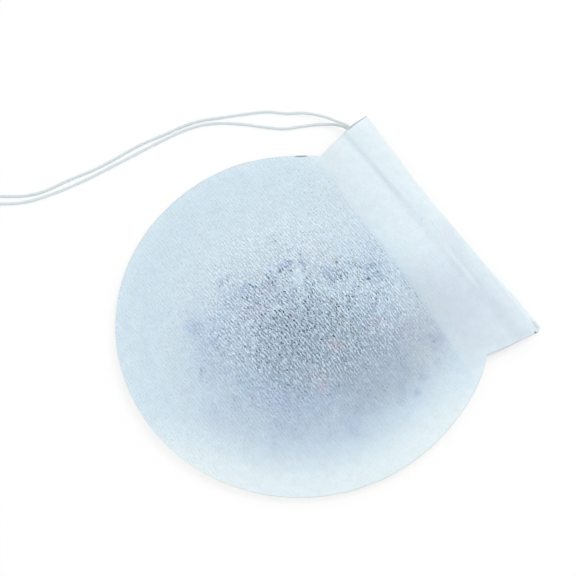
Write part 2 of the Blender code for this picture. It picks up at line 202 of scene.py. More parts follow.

# Marks in the paper, on the flat cut of a sheet in mm from the disc's middle: how the UV map lays it
# out, the rim's lit side with painted light, a painted shade of a dent on the hem, a painted
# highlight along the crease, painted shadow in the open end at the left and on the rim by the left
# notch, and
# dark specks as x, y and size: two crumbs and a painted shadow at the mouth's right corner
UV_SIZE_MM = 120.0
UV_START_MM = 50.0
RIM_LIGHT = (0.90, -0.44)
SHADED_BAND_MM = (7.4, 41.7)
SHADED_BAND_HALF_MM = (8.5, 2.2)
SHADED_BAND_SLOPE = -0.23
CREASE_HIGHLIGHT_Y_MM = 39.75
CREASE_HIGHLIGHT_SLOPE = -0.022
OPEN_END_X_MM = -34.0
OPEN_END_Y_MM = 45.0
OPEN_END_SLOPE = 0.1
SHADOWED_RIM_MM = (43.8, 44.2)
SPECKS_MM = ((-6.0, 15.4, 0.58), (2.2, 18.9, 0.62), (36.7, 43.1, 0.42))

# How far the rows of pinholes stray from straight lines, in mm
HOLE_WANDER_MM = 1.2
ROW_WANDER_MM = 1.25
ROW_SHIVER_MM = 0.85

# What tea, thin felt and stains do to the paper's colour; painted shade on the hem, in a dent and
# over tea under the flap; and one dark colour for crumbs and painted shadow
TEA_TINT = (1.0, 1.0, 0.95)
STAIN = (0.945, 0.895, 0.860)
DULL_BODY = 0.86
DULL_HEM = 0.96
HEM_SHADE = (0.53, 0.66, 0.83)
UNDER_FLAP_SHADE = (0.34, 0.42, 0.60)
CRUMB_AND_SHADOW_COLOUR = (0.10, 0.12, 0.14)

# Crumbs of the heap: their number per metre, and the painted shade in the gaps between them
CRUMBS_PER_METRE = 1300.0
CRUMB_GAP_SHADE = (0.045, 0.055, 0.075)

# Folds and dents in the front hem: two ends in mm, width and height in mm
HEM_MARKS = (
    ((13.8, 43.4), (17.2, 38.2), 0.95, -0.20),
    ((23.0, 43.4), (23.0, 39.4), 0.95, -0.20), ((19.0, 43.2), (20.5, 40.5), 1.20, 0.12),
    ((-30.0, 34.4), (-23.5, 33.9), 0.60, 0.09), ((2.0, 42.3), (6.0, 43.4), 0.60, -0.10),
    ((27.0, 42.5), (31.5, 36.0), 1.30, 0.14), ((-29.0, 30.6), (-26.0, 28.6), 0.90, -0.16),
)

# Loose ends of the drawstring
STRING_GAP = 0.0003
KNOT_LENGTH = 0.0032
KNOT_HEIGHT = 0.0020
TAIL_LENGTH = 0.0060
STRAND_LIFT = 0.00003

# Each strand's loop in the knot in mm: its size on three axes, and its shift away from the other's
KNOT_LOOP_MM = (0.40, 0.34, 0.26)
KNOT_LOOP_RISE_MM = 0.68
KNOT_SHIFT_MM = (0.10, 0.22, 0.22)
KNOT_LEAD_MM = 0.3
KNOT_REFERENCE = (0.12, 0.05, 0.99)
KNOT_LOWEST = 0.53
TAIL_FRAY = 0.35

# Twisted string: its three plies as shares of its radius, and how finely it is divided
PLY_OFFSET = 0.34
PLY_RADIUS = 0.70
STEPS_PER_TURN = 14
STRING_SIDES = 18
STRING_UV_MM = 16.0
FRAY_START = 0.0012
FRAY_END = 0.0002

# Cotton: how dark its hollows are, painted shade in part, and the share of light that passes
# through it
YARN_SHADE = 0.78
YARN_GLOW = 0.08

# How finely the surfaces are divided
PAPER_COLUMNS = 200
DISC_ROWS = 120
NECK_ROWS = 22
CHANNEL_ROWS = 16
FOLD_ROWS = 8
FLAP_ROWS = 20
NOTCH_CLOSED_ROWS = 4

# Route of each loose end from where it leaves the hem, as (x, y, height) in this unit
ROUTE_UNIT = 0.001
FRONT_ROUTE = (
    (0.0, 0.0, 3.45), (-1.2, -0.4, 3.35), (-2.8, -1.2, 2.95), (-6.9, -3.0, 1.75), (-10.9, -6.0, 0.85),
    (-13.5, -9.3, 0.42), (-16.5, -12.4, 0.37), (-18.3, -15.1, 0.37), (-20.6, -19.2, 0.37),
    (-22.7, -23.1, 0.37), (-25.1, -27.7, 0.37), (-26.5, -32.1, 0.37), (-27.4, -36.8, 0.37),
    (-28.8, -43.4, 0.37), (-29.5, -50.7, 0.37), (-30.2, -56.1, 0.37), (-31.7, -62.6, 0.37),
    (-33.0, -69.5, 0.37), (-35.1, -74.3, 0.37), (-38.6, -79.0, 0.37), (-42.2, -84.0, 0.37),
    (-45.8, -88.3, 0.37),
)
BACK_ROUTE = (
    (0.0, 0.0, 1.75), (-1.1, -0.4, 1.72), (-2.2, -1.0, 1.55), (-3.8, -2.2, 1.15), (-6.3, -5.0, 0.55),
    (-8.6, -8.8, 0.37), (-10.7, -12.5, 0.37), (-14.3, -16.3, 0.37), (-18.1, -20.0, 0.37),
    (-21.7, -24.3, 0.37), (-24.0, -28.4, 0.37), (-25.5, -33.2, 0.37), (-26.5, -39.1, 0.37),
    (-27.1, -43.5, 0.37), (-28.1, -51.4, 0.37), (-29.1, -58.6, 0.37), (-30.4, -65.3, 0.37),
    (-32.2, -71.8, 0.37), (-34.2, -76.3, 0.37), (-37.1, -80.4, 0.37), (-40.9, -85.0, 0.37),
    (-44.9, -89.4, 0.37),
)
KNOT_OFFSET = (-47.9, -91.7)

# Values that follow from the sizes above
NOTCH_Y = math.sqrt(DISC_RADIUS ** 2 - NOTCH_HALF_WIDTH ** 2)
MOUTH_DISTANCE = NOTCH_Y + NECK_LENGTH
LEFT_CORNER_X = MOUTH_OFFSET - MOUTH_HALF_WIDTH
RIGHT_CORNER_X = MOUTH_OFFSET + MOUTH_HALF_WIDTH
FREE_RADIUS = DISC_RADIUS - SEAL_WIDTH
DISC_CENTRE_Y = (DISC_RADIUS - (MOUTH_DISTANCE - math.tan(MOUTH_TURN) * LEFT_CORNER_X)) / 2

# Camera as in the photo, in the row's frame
CAMERA_TARGET = (-0.009948, 0.003439 + DISC_CENTRE_Y, 0.0)
CAMERA_DISTANCE = 0.900
CAMERA_AZIMUTH = math.radians(56.5)
CAMERA_ELEVATION = math.radians(66.6884)
CAMERA_ROLL = math.radians(3.6809)
PICTURE_WIDTH = 0.140252
SENSOR_MM = 36.0

# Lamp and floor: the lamp stands this far towards the picture's top, its right side and upwards
LAMP_TOWARDS = (0.35, 0.60, 1.25)
LAMP_DISTANCE = 0.95
LAMP_SIZE = 0.55
FLOOR_HALF = 1.5
WHITE = (1.0, 1.0, 1.0, 1.0)


# settings
class PaperSettings(bpy.types.PropertyGroup):
    """Filter paper of both sheets."""

    thickness: FloatProperty(
        name="Thickness", description="Thickness of one sheet", default=0.0001, min=0.00005,
        max=0.0003, subtype="DISTANCE", unit="LENGTH", precision=5)
    cockle: FloatProperty(
        name="Cockle", description="Height of the small waves in the paper", default=0.00007,
        subtype="DISTANCE", unit="LENGTH", precision=5)
    row_pitch: FloatProperty(
        name="Row pitch", description="Distance between the rows of pinholes", default=0.00072,
        subtype="DISTANCE", unit="LENGTH", precision=5)
    hole_pitch: FloatProperty(
        name="Hole pitch", description="Distance between pinholes along a row", default=0.00095,
        subtype="DISTANCE", unit="LENGTH", precision=5)
    see_through: FloatProperty(
        name="See-through", description="Share of the light that passes straight through a sheet",
        default=0.08, min=0.0, max=1.0, subtype="FACTOR")
    hole_clear: FloatProperty(
        name="Hole", description="Share of the light that passes straight through a pinhole",
        default=0.85, min=0.0, max=1.0, subtype="FACTOR")
    body_white: FloatVectorProperty(
        name="Body colour", description="Light that the fibres of the body send back",
        default=(0.443, 0.579, 0.799), subtype="COLOR", min=0.0, max=1.0)
    hem_white: FloatVectorProperty(
        name="Hem colour", description="Light that the dense smooth hem sends back",
        default=(0.630, 0.830, 0.972), subtype="COLOR", min=0.0, max=1.0)
    streak: FloatVectorProperty(
        name="Streak colour", description="Light that the white fibre streaks send back",
        default=(0.700, 0.885, 0.985), subtype="COLOR", min=0.0, max=1.0)
    body_glow: FloatVectorProperty(
        name="Body glow", description="Light that the fibres of the body pass on",
        default=(0.455, 0.388, 0.217), subtype="COLOR", min=0.0, max=1.0)
    streak_glow: FloatVectorProperty(
        name="Streak glow", description="Light that the white fibre streaks pass on",
        default=(0.240, 0.090, 0.010), subtype="COLOR", min=0.0, max=1.0)
    hem_glow: FloatVectorProperty(
        name="Hem glow", description="Light that the dense smooth hem passes on",
        default=(0.330, 0.170, 0.030), subtype="COLOR", min=0.0, max=1.0)


class TeaSettings(bpy.types.PropertyGroup):
    """Dried leaves and petals in the bag."""

    leaves: IntProperty(name="Leaves", description="Number of leaf pieces", default=1100, min=1)
    leaf_length: FloatProperty(
        name="Leaf length", description="Length of a middling piece", default=0.0022,
        subtype="DISTANCE", unit="LENGTH", precision=4)
    seed: IntProperty(name="Seed", description="Start of the random draws", default=76)
    leaf_green: FloatVectorProperty(
        name="Leaf green", description="Green leaf", default=(0.085, 0.112, 0.118),
        subtype="COLOR", min=0.0, max=1.0)
    leaf_brown: FloatVectorProperty(
        name="Leaf brown", description="Brown leaf", default=(0.105, 0.098, 0.108),
        subtype="COLOR", min=0.0, max=1.0)
    petal_pink: FloatVectorProperty(
        name="Petal pink", description="Pink petal", default=(0.250, 0.130, 0.190),
        subtype="COLOR", min=0.0, max=1.0)
    petal_violet: FloatVectorProperty(
        name="Petal violet", description="Violet petal", default=(0.150, 0.140, 0.220),
        subtype="COLOR", min=0.0, max=1.0)
    pale_dust: FloatVectorProperty(
        name="Pale dust", description="Fine pale dust in the heap", default=(0.370, 0.410, 0.440),
        subtype="COLOR", min=0.0, max=1.0)


class StringSettings(bpy.types.PropertyGroup):
    """Twisted cotton string."""

    diameter: FloatProperty(
        name="Diameter", description="Diameter over the plies", default=0.0007,
        subtype="DISTANCE", unit="LENGTH", precision=5)
    twist: FloatProperty(
        name="Twist", description="Length of one turn of the plies", default=0.0019,
        subtype="DISTANCE", unit="LENGTH", precision=5)
    colour: FloatVectorProperty(
        name="String colour", description="Colour of the cotton", default=(0.86, 0.94, 0.955),
        subtype="COLOR", min=0.0, max=1.0)


class StageSettings(bpy.types.PropertyGroup):
    """Floor, lamp and sky."""

    floor: FloatVectorProperty(
        name="Floor", description="Light that the floor sends back", default=(0.76, 0.86, 0.93),
        subtype="COLOR", min=0.0, max=1.0)
    table_light: FloatProperty(
        name="Table light", description="Share of the floor's white that no shadow tones down",
        default=0.70, min=0.0, max=1.0, subtype="FACTOR")
    sky: FloatProperty(name="Sky", description="Brightness of the even light", default=0.825, min=0.0)
    lamp: FloatProperty(
        name="Lamp", description="Power of the soft lamp", default=2.15, min=0.0, unit="POWER")


# shapes in plan
def ease(start, end, value):
    """Smooth step from 0 at start to 1 at end: 3 s squared less 2 s cubed of the share s."""
    share = np.clip((value - start) / (end - start), 0.0, 1.0)
    return share * share * (3.0 - 2.0 * share)


def hump(centre, width, value):
    """Bell of height 1: e to the minus square of the distance from the centre over the width."""
    return np.exp(-((value - centre) / width) ** 2)


def across_mouth(x, at_left, at_right):
    """A value that changes evenly from the mouth's left corner to its right one."""
    share = (x - LEFT_CORNER_X) / (RIGHT_CORNER_X - LEFT_CORNER_X)
    return at_left + (at_right - at_left) * share


def straight_mouth_y(x):
    """The line between the mouth's corners, which slants down to the right."""
    return MOUTH_DISTANCE - math.tan(MOUTH_TURN) * x


def mouth_y(x):
    """The mouth's edge: the line between its corners, less a bell where it sags."""
    return straight_mouth_y(x) - MOUTH_SAG * hump(MOUTH_SAG_X, MOUTH_SAG_WIDTH, x)


def crease_y(x):
    """The sealed crease under the string's channel."""
    return straight_mouth_y(x) - across_mouth(x, CREASE_DEPTH_LEFT, CREASE_DEPTH_RIGHT)


def flap_edge_y(x):
    """The free edge of the folded-in hem."""
    return straight_mouth_y(x) - across_mouth(x, HEM_DEPTH_LEFT, HEM_DEPTH_RIGHT)


def string_y(x):
    """The drawstring's line in the channel."""
    return crease_y(x) + STRING_ABOVE_CREASE


def overhang(x):
    """How far the back mouth stands out past the front one, near the right corner."""
    corner_start = RIGHT_CORNER_X - HEM_NOTCH_WIDTH
    rise = ease(OVERHANG_START_X, corner_start, x)
    return BACK_OVERHANG * rise * (1.0 - ease(RIGHT_CORNER_X - CORNER_ROUNDING, RIGHT_CORNER_X, x))


def neck_share(y):
    """0 at the notches and 1 at the mouth."""
    return np.clip((y - NOTCH_Y) / (MOUTH_DISTANCE - NOTCH_Y), 0.0, 1.0)


def middle_x(y):
    """X of the sheet's middle line, which leans to the right above the disc and in the neck."""
    lean = NOTCH_OFFSET * ease(LEAN_START_Y, NOTCH_Y, y)
    return lean + (MOUTH_OFFSET - NOTCH_OFFSET) * neck_share(y)


def neck_half_width(y):
    """Half of the neck's width: it grows to the mouth, and its sides bow out by a parabola."""
    share = neck_share(y)
    grown = NOTCH_HALF_WIDTH + (MOUTH_HALF_WIDTH - NOTCH_HALF_WIDTH) * share
    return grown + NECK_BOW * 4 * share * (1 - share)


def bulge_distance(x, y):
    """0 at the middle of the filling and 1 where the bag is flat: an ellipse's own radius."""
    half_x = FREE_RADIUS - abs(BULGE_CENTRE_X)
    return np.hypot((x - BULGE_CENTRE_X) / half_x, y / FREE_RADIUS)


def lean_axes(x, y, centre, lean):
    """How far x and y lie across and along an axis through a centre, which leans to the right."""
    from_x, from_y = x - centre[0], y - centre[1]
    across = from_x * math.cos(lean) - from_y * math.sin(lean)
    along = from_x * math.sin(lean) + from_y * math.cos(lean)
    return across, along


def heap_distance(x, y):
    """Distance from the heap's middle over its reach in that direction: 1 on its oval foot."""
    across, along = lean_axes(x, y, HEAP_CENTRE, HEAP_LEAN)
    return np.hypot(across / HEAP_SIDE, along / np.where(along > 0, HEAP_UP, HEAP_DOWN))


def tea_share(x, y):
    """How thickly tea lies: 1 at its densest place and 0 past the leaning oval of its reach."""
    across, along = lean_axes(x, y, TEA_CENTRE, TEA_LEAN)
    out = np.hypot(across / np.where(across > 0, TEA_RIGHT, TEA_LEFT),
                   along / np.where(along > 0, TEA_UP, TEA_DOWN))
    return 1.0 - ease(0.0, 1.0, out)


def ripple(x, y, wavelength, seed, waves=9):
    """Even random ripples: a sum of plane sine waves of like length in seeded directions."""
    draw = np.random.default_rng(seed)
    angle = draw.uniform(0.0, math.tau, waves)
    length = wavelength * draw.uniform(0.75, 1.35, waves)
    phase = draw.uniform(0.0, math.tau, waves)
    across = x[..., None] * np.cos(angle) + y[..., None] * np.sin(angle)
    return np.sin(math.tau * across / length + phase).sum(axis=-1) / math.sqrt(waves / 2)


# heights
def rim_closeness(x, y):
    """1 where the two sheets are sealed together, 0 where they lie free."""
    radius = np.hypot(x - middle_x(y), y)
    round_rim = ease(FREE_RADIUS - SEAL_EDGE, FREE_RADIUS + SEAL_EDGE, radius)
    below_neck = 1.0 - ease(NOTCH_Y - RIM_SEAL_END, NOTCH_Y + RIM_SEAL_PAST, y)
    edge = neck_half_width(y) - np.abs(x - middle_x(y))
    side = 1.0 - ease(SIDE_SEAL * 0.5, SIDE_SEAL, edge)
    in_neck = ease(NOTCH_Y - SIDE_SEAL_START, NOTCH_Y, y)
    return np.maximum(round_rim * below_neck, side * in_neck)


def middle_height(x, y, cockle):
    """Level between the sheets: a rim that waves with the angle, a mouth that lifts, and cockles,
    which are two sines of the angle in a ring at the seal, and ripples."""
    angle = np.arctan2(y, x)
    radius = np.hypot(x, y)
    near_rim = ease(DISC_RADIUS - RIM_WAVE_WIDTH, DISC_RADIUS, radius)
    lifted = ease(MOUTH_DISTANCE - MOUTH_LIFT_LENGTH, MOUTH_DISTANCE, y)
    wave = RIM_WAVE * np.sin(RIM_WAVES * angle + RIM_WAVE_START) * near_rim * (1.0 - lifted)
    wide, narrow = PUCKER_WAVES
    pucker = np.sin(wide * angle + 0.4) + 0.7 * np.sin(narrow * angle + 1.9)
    pucker = pucker * hump(PUCKER_RADIUS, PUCKER_WIDTH, radius)
    pucker = pucker * (1.0 - ease(NOTCH_Y - RIM_SEAL_END, NOTCH_Y, y))
    loose = ripple(x, y, COCKLE_LENGTH, COCKLE_SEED)
    loose = loose * (COCKLE_INSIDE + (1.0 - COCKLE_INSIDE) * near_rim)
    return RIM_HEIGHT + wave + MOUTH_LIFT * lifted + cockle * (pucker + loose)


def front_bulge(x, y):
    """Rise of the front sheet over the leaves: 1 less the distance squared, to a power."""
    rest = np.clip(1.0 - bulge_distance(x, y) ** 2, 0.0, 1.0)
    return FRONT_BULGE * rest ** BULGE_FULLNESS


def back_bulge(x, y):
    """Drop of the back sheet under the leaves, down to a flat spot on the table."""
    return BELLY_DEPTH * (1.0 - ease(BELLY_FLAT_RADIUS / FREE_RADIUS, 1.0, bulge_distance(x, y)))


def flap_layer(x, y, thickness):
    """Distance of a hem's inner flap from the middle level: less where the sides are sealed."""
    sealed = rim_closeness(x, y)
    return thickness / 2 + SEALED_GAP + (OPEN_GAP - SEALED_GAP) * (1.0 - sealed)


def hem_step(x, y, thickness):
    """Distance from the flap to the layer outside it: a small even step, which grows to the string's
    room over a ramp at the crease and sinks again from the string to the mouth."""
    sealed = rim_closeness(x, y)
    flat = thickness + SEALED_GAP + (HEM_GAP - SEALED_GAP) * (1.0 - sealed)
    start = flap_edge_y(x)
    room = flat * ease(start - HEM_LEAD_IN, start, y)
    crease = crease_y(x)
    line = string_y(x)
    fold = mouth_y(x) - FOLD_RADIUS
    full = STRING_OFFSET + HEM_OVER_STRING - flap_layer(x, y, thickness)
    from_right = middle_x(y) + neck_half_width(y) - x
    full = room + (full - room) * ease(CHANNEL_EDGE, HEM_NOTCH_WIDTH / 2, from_right)
    ramp = CHANNEL_RAMP * (1.0 + SOFT_RAMP * ease(*CREASE_SOFTENS, x))
    up = ease(crease - ramp / 3, crease + ramp * 2 / 3, y)
    down = 1.0 - MOUTH_SINKS * ease(line + PAST_STRING, fold, y)
    return room + (full - room) * up * down


def outer_layer(x, y, thickness, bulge):
    """Distance of a sheet's outer layer from the middle level: flap, step and bulge, summed."""
    return flap_layer(x, y, thickness) + hem_step(x, y, thickness) + bulge(x, y)


def hem_marks(x, y):
    """Folds and dents of the front hem: for each a bell over the distance from its line."""
    height = np.zeros_like(x)
    for start, end, width, rise in HEM_MARKS:
        x0, y0, x1, y1 = (value / 1000 for value in (*start, *end))
        length = math.hypot(x1 - x0, y1 - y0)
        along = np.clip(((x - x0) * (x1 - x0) + (y - y0) * (y1 - y0)) / length ** 2, 0.0, 1.0)
        distance = np.hypot(x - x0 - along * (x1 - x0), y - y0 - along * (y1 - y0))
        height = height + rise / 1000 * hump(0.0, width / 1000, distance)
    return height


# meshes from arrays
def add_mesh(name, points, faces, finish, uv=None):
    """Put points and faces, given as whole arrays, into a new mesh object at the origin."""
    mesh = bpy.data.meshes.new(name)
    mesh.from_pydata(points.tolist(), [], faces.tolist())
    if uv is not None:
        corners = np.empty(len(mesh.loops), dtype=np.int32)
        mesh.loops.foreach_get("vertex_index", corners)
        layer = mesh.uv_layers.new(name="cut")
        layer.uv.foreach_set("vector", uv[corners].astype(np.float32).ravel())
    mesh.shade_smooth()
    mesh.materials.append(finish)
    item = bpy.data.objects.new(name, mesh)
    bpy.context.scene.collection.objects.link(item)
    return item


def grid_faces(rows, columns, closed_rows=False, closed_columns=False):
    """Four-sided faces of a grid of points: row and column numbers, each with the next one."""
    row = np.arange(rows if closed_rows else rows - 1)[:, None]
    column = np.arange(columns if closed_columns else columns - 1)[None, :]
    next_row, next_column = (row + 1) % rows, (column + 1) % columns
    corners = (row * columns + column, row * columns + next_column,
               next_row * columns + next_column, next_row * columns + column)
    return np.stack(corners, axis=-1)


def merge_doubles(item, distance=1e-6):
    """Merge points that share a place, such as a grid's pole."""
    shape = bmesh.new()
    shape.from_mesh(item.data)
    bmesh.ops.remove_doubles(shape, verts=shape.verts, dist=distance)
    shape.to_mesh(item.data)
    shape.free()


def finish_piece(item, slot, *nodes):
    """Let a piece ride on the bag and stand for the solids that it replaces; slot is not used."""
    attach(item, "root")
    if nodes:
        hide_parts(*nodes)
    return item


# shader maths
class Field:
    """A socket on which Python's own arithmetic adds Math nodes."""

    def __init__(self, finish, socket):
        self.finish = finish
        self.socket = socket

    def maths(self, operation, *values):
        """One Math node on values, of which any may be a number."""
        made = self.finish.add("ShaderNodeMath", {"operation": operation})
        for socket, value in zip(made.inputs, values):
            self.finish.feed(socket, value)
        return Field(self.finish, made.outputs[0])

    def __add__(self, other):
        return self.maths("ADD", self, other)

    def __sub__(self, other):
        return self.maths("SUBTRACT", self, other)

    def __rsub__(self, other):
        return self.maths("SUBTRACT", other, self)

    def __mul__(self, other):
        return self.maths("MULTIPLY", self, other)

    def __truediv__(self, other):
        return self.maths("DIVIDE", self, other)

    __radd__ = __add__
    __rmul__ = __mul__

    def floor(self):
        """The whole number below."""
        return self.maths("FLOOR", self)

    def part(self):
        """What is left over the whole number below."""
        return self.maths("FRACT", self)

    def size(self):
        """The number without its sign."""
        return self.maths("ABSOLUTE", self)

    def cosine(self):
        """The cosine of an angle in radians."""
        return self.maths("COSINE", self)

    def power(self, exponent):
        """The number to a power."""
        return self.maths("POWER", self, exponent)

    def most(self, other):
        """The greater of two numbers."""
        return self.maths("MAXIMUM", self, other)

    def ease(self, start, end):
        """Smooth step from 0 at start to 1 at end."""
        return self.finish.node("ShaderNodeMapRange", {"interpolation_type": "SMOOTHSTEP"},
                                {"Value": self, "From Min": start, "From Max": end})


class Finish:
    """The node tree of one new material, or of one new sky."""

    def __init__(self, name, sky=False):
        self.owner = (bpy.data.worlds if sky else bpy.data.materials).new(name)
        self.owner.use_nodes = True
        self.tree = self.owner.node_tree
        self.tree.nodes.clear()

    def add(self, kind, settings):
        """A new node with its settings."""
        made = self.tree.nodes.new(kind)
        for name, value in settings.items():
            setattr(made, name, value)
        return made

    def feed(self, socket, value):
        """Link a field into a socket, or set the socket to a value."""
        if isinstance(value, Field):
            self.tree.links.new(value.socket, socket)
        else:
            socket.default_value = value

    def node(self, kind, settings, inputs, output=0):
        """Add a node, set it up, feed its sockets by name or number and give one output."""
        made = self.add(kind, settings)
        for name, value in inputs.items():
            self.feed(made.inputs[name], value)
        return Field(self, made.outputs[output])

    def noise(self, place, scale, detail=2.0, roughness=0.5):
        """Soft noise about 0.5."""
        return self.node("ShaderNodeTexNoise", {},
                         {"Vector": place, "Scale": scale, "Detail": detail, "Roughness": roughness})

    def stretch(self, place, scale, location=(0.0, 0.0, 0.0)):
        """A place scaled on each axis and then moved."""
        return self.node("ShaderNodeMapping", {},
                         {"Vector": place, "Scale": scale, "Location": location})

    def blend(self, share, first, second):
        """A colour between two colours, through the colour sockets of a Mix node."""
        return self.node("ShaderNodeMix", {"data_type": "RGBA"}, {0: share, 6: first, 7: second}, 2)

    def tint(self, colour, shade):
        """A colour multiplied by a shade."""
        return self.node("ShaderNodeVectorMath", {"operation": "MULTIPLY"}, {0: colour, 1: shade})

    def surface(self, colour, roughness, shine, others):
        """What scatters light back: its colour, roughness, faint shine and other sockets."""
        return self.node("ShaderNodeBsdfPrincipled", {}, {
            "Base Color": colour, "Roughness": roughness, "Specular IOR Level": shine, **others})

    def mix_shaders(self, share, first, second):
        """A mix of two shaders."""
        return self.node("ShaderNodeMixShader", {}, {0: share, 1: first, 2: second})

    def add_shaders(self, first, second):
        """The sum of two shaders, which share the light between them by their colours."""
        return self.node("ShaderNodeAddShader", {}, {0: first, 1: second})

    def outputs(self, made, *names):
        """Several outputs of one node, by name."""
        return [Field(self, made.outputs[name]) for name in names]

    def axes(self, vector):
        """X and y of a vector."""
        made = self.add("ShaderNodeSeparateXYZ", {})
        self.feed(made.inputs[0], vector)
        return self.outputs(made, "X", "Y")

    def channels(self, colour):
        """Red, green and blue of a colour, which serve as three random numbers."""
        made = self.add("ShaderNodeSeparateColor", {})
        self.feed(made.inputs[0], colour)
        return self.outputs(made, "Red", "Green", "Blue")

    def bump(self, height, strength, distance):
        """A normal from a height."""
        return self.node("ShaderNodeBump", {},
                         {"Height": height, "Strength": strength, "Distance": distance})

    def show(self, shader, output="ShaderNodeOutputMaterial"):
        """Link the finished shader to the output, and give the material or sky."""
        made = self.add(output, {})
        self.feed(made.inputs["Surface"], shader)
        return self.owner


def oval_field(x, y, centre, lean, right, left, up, down):
    """Distance from a centre on fields of x and y in metres: 1 on a leaning oval of four reaches."""
    across, along = lean_axes(x, y, centre, lean)
    across = (across / right).most(across * (-1 / left))
    along = (along / up).most(along * (-1 / down))
    return (across * across + along * along).power(0.5)


def tea_field(x, y):
    """The same share of tea as tea_share, on fields of x and y in metres."""
    out = oval_field(x, y, TEA_CENTRE, TEA_LEAN, TEA_RIGHT, TEA_LEFT, TEA_UP, TEA_DOWN)
    return 1.0 - out.ease(0.0, 1.0)


class SheetPlace:
    """Where a point lies on a sheet's flat cut: x, y and radius in mm from the disc's middle, its
    share of tea, and its share of the hem, which starts at the flap's edge."""

    def __init__(self, made):
        cut = made.node("ShaderNodeUVMap", {"uv_map": "cut"}, {})
        self.point = made.stretch(cut, (UV_SIZE_MM,) * 3, (-UV_START_MM, -UV_START_MM, 0.0))
        self.x, self.y = made.axes(self.point)
        self.radius = (self.x * self.x + self.y * self.y).power(0.5)
        self.in_metres = (self.x * 0.001, self.y * 0.001)
        self.tea = tea_field(*self.in_metres)
        flap_slope = flap_edge_y(0.0) - flap_edge_y(1.0)
        above_flap = self.y + self.x * flap_slope - flap_edge_y(0.0) * 1000
        self.hem = above_flap.ease(-0.4, 0.2)


def row_contrast(made, place, at):
    """How strongly the rows show: most in patches where tea presses the sheet, a little elsewhere,
    and least on the hem and at the right."""
    from_heap = oval_field(*at.in_metres, PRESSED_CENTRE, HEAP_LEAN, PRESSED_SIDE, PRESSED_SIDE,
                           PRESSED_UP, PRESSED_DOWN)
    touching = made.noise(place, 0.22, 3.0, 0.55).ease(0.30, 0.58) * 0.7 + 0.3
    pressed = from_heap.ease(1.15, 0.35) * (1.0 - at.hem) * touching
    faint = from_heap.ease(1.7, 1.1) * 0.13 + 0.16 - at.x.ease(12.0, 26.0) * 0.09
    return pressed * 0.86 + faint * (1.0 - at.hem * 0.75)


def pinhole_rows(made, place, shift, settings):
    """Holes, thin dashes and white streaks, each from 0 to 1, of rows that run along x and stray.

    Each cell of a staggered lattice holds at most one hole, a short oval along the row, whose
    size, place and presence are random. The dashes lie on the rows, by a cosine across them, and the
    streaks lie between the rows.
    """
    row_pitch = settings.row_pitch * 1000
    hole_pitch = settings.hole_pitch * 1000
    place_x, place_y = made.axes(place)
    wander_x = made.noise(place, 0.8, 2.0)
    wander_y = made.noise(made.stretch(place, (1.0, 1.0, 1.0), (31.0, 17.0, 5.0)), 0.55, 3.0, 0.6)
    shiver = made.noise(made.stretch(place, (1.0, 1.0, 1.0), (7.0, 23.0, 9.0)), 1.7, 2.0)
    along = place_x + (wander_x - 0.5) * HOLE_WANDER_MM
    across = place_y + (wander_y - 0.5) * ROW_WANDER_MM + (shiver - 0.5) * ROW_SHIVER_MM

    row = (across / row_pitch).floor()
    stagger = made.node("ShaderNodeTexWhiteNoise", {"noise_dimensions": "1D"}, {"W": row})
    cell = along / hole_pitch + stagger
    key = made.node("ShaderNodeCombineXYZ", {}, {"X": cell.floor(), "Y": row, "Z": shift})
    dice = made.add("ShaderNodeTexWhiteNoise", {"noise_dimensions": "3D"})
    made.feed(dice.inputs["Vector"], key)
    presence, dice_colour = made.outputs(dice, "Value", "Color")
    dice_x, dice_y, dice_size = made.channels(dice_colour)

    from_middle_x = (cell.part() - 0.5 - (dice_x - 0.5) * 0.5) * hole_pitch
    from_middle_y = ((across / row_pitch).part() - 0.5 - (dice_y - 0.5) * 0.5) * row_pitch
    half_length = 0.16 + dice_size * 0.26
    half_height = 0.10 + dice_size * 0.09
    reach = (from_middle_x / half_length).power(2.0) + (from_middle_y / half_height).power(2.0)
    cloud = made.noise(place, 0.45, 3.0, 0.6)
    hole = reach.ease(1.8, 0.4) * (presence.ease(0.80, 0.25) * cloud.ease(0.32, 0.60))

    wave = (across * (math.tau / row_pitch)).cosine() * 0.5 + 0.5
    broken = made.noise(made.stretch(place, (1.1, 1.9, 1.0), (3.0, 8.0, 1.0)), 1.0, 2.0, 0.6)
    lively = made.noise(made.stretch(place, (0.9, 1.9, 1.0), (13.0, 2.0, 4.0)), 1.0, 2.0, 0.6)
    return hole, (1.0 - wave) * broken.ease(0.44, 0.58), wave.power(1.2) * lively.ease(0.43, 0.56)


def felt_body(made, place):
    """How thick the felt of fibres is, from 0 to 1: clouds, long strands and fine felt, summed."""
    strands = made.noise(made.stretch(place, (0.45, 2.2, 1.0)), 1.0, 4.0, 0.62)
    felt = made.noise(place, 2.6, 3.0, 0.6)
    clouds = made.noise(place, 0.40, 4.0, 0.55)
    return (clouds.ease(0.30, 0.70) * 0.45 + strands.ease(0.3, 0.7) * 0.35
            + felt.ease(0.3, 0.7) * 0.2)


def smooth_and_lit_share(at):
    """Where the paper is whiter: the smooth hem, and painted light that makes the hem
    whitest at its left and whitens the rim's lit side.
    """
    lit = (at.x * RIM_LIGHT[0] + at.y * RIM_LIGHT[1]).ease(12.0, 36.0)
    rim = at.radius.ease(32.0, 42.0) * lit
    hem = at.y.ease(22.0, 38.0) * (1.0 - at.x.ease(-8.0, 22.0) * 0.35)
    return hem.most(rim * 0.8)


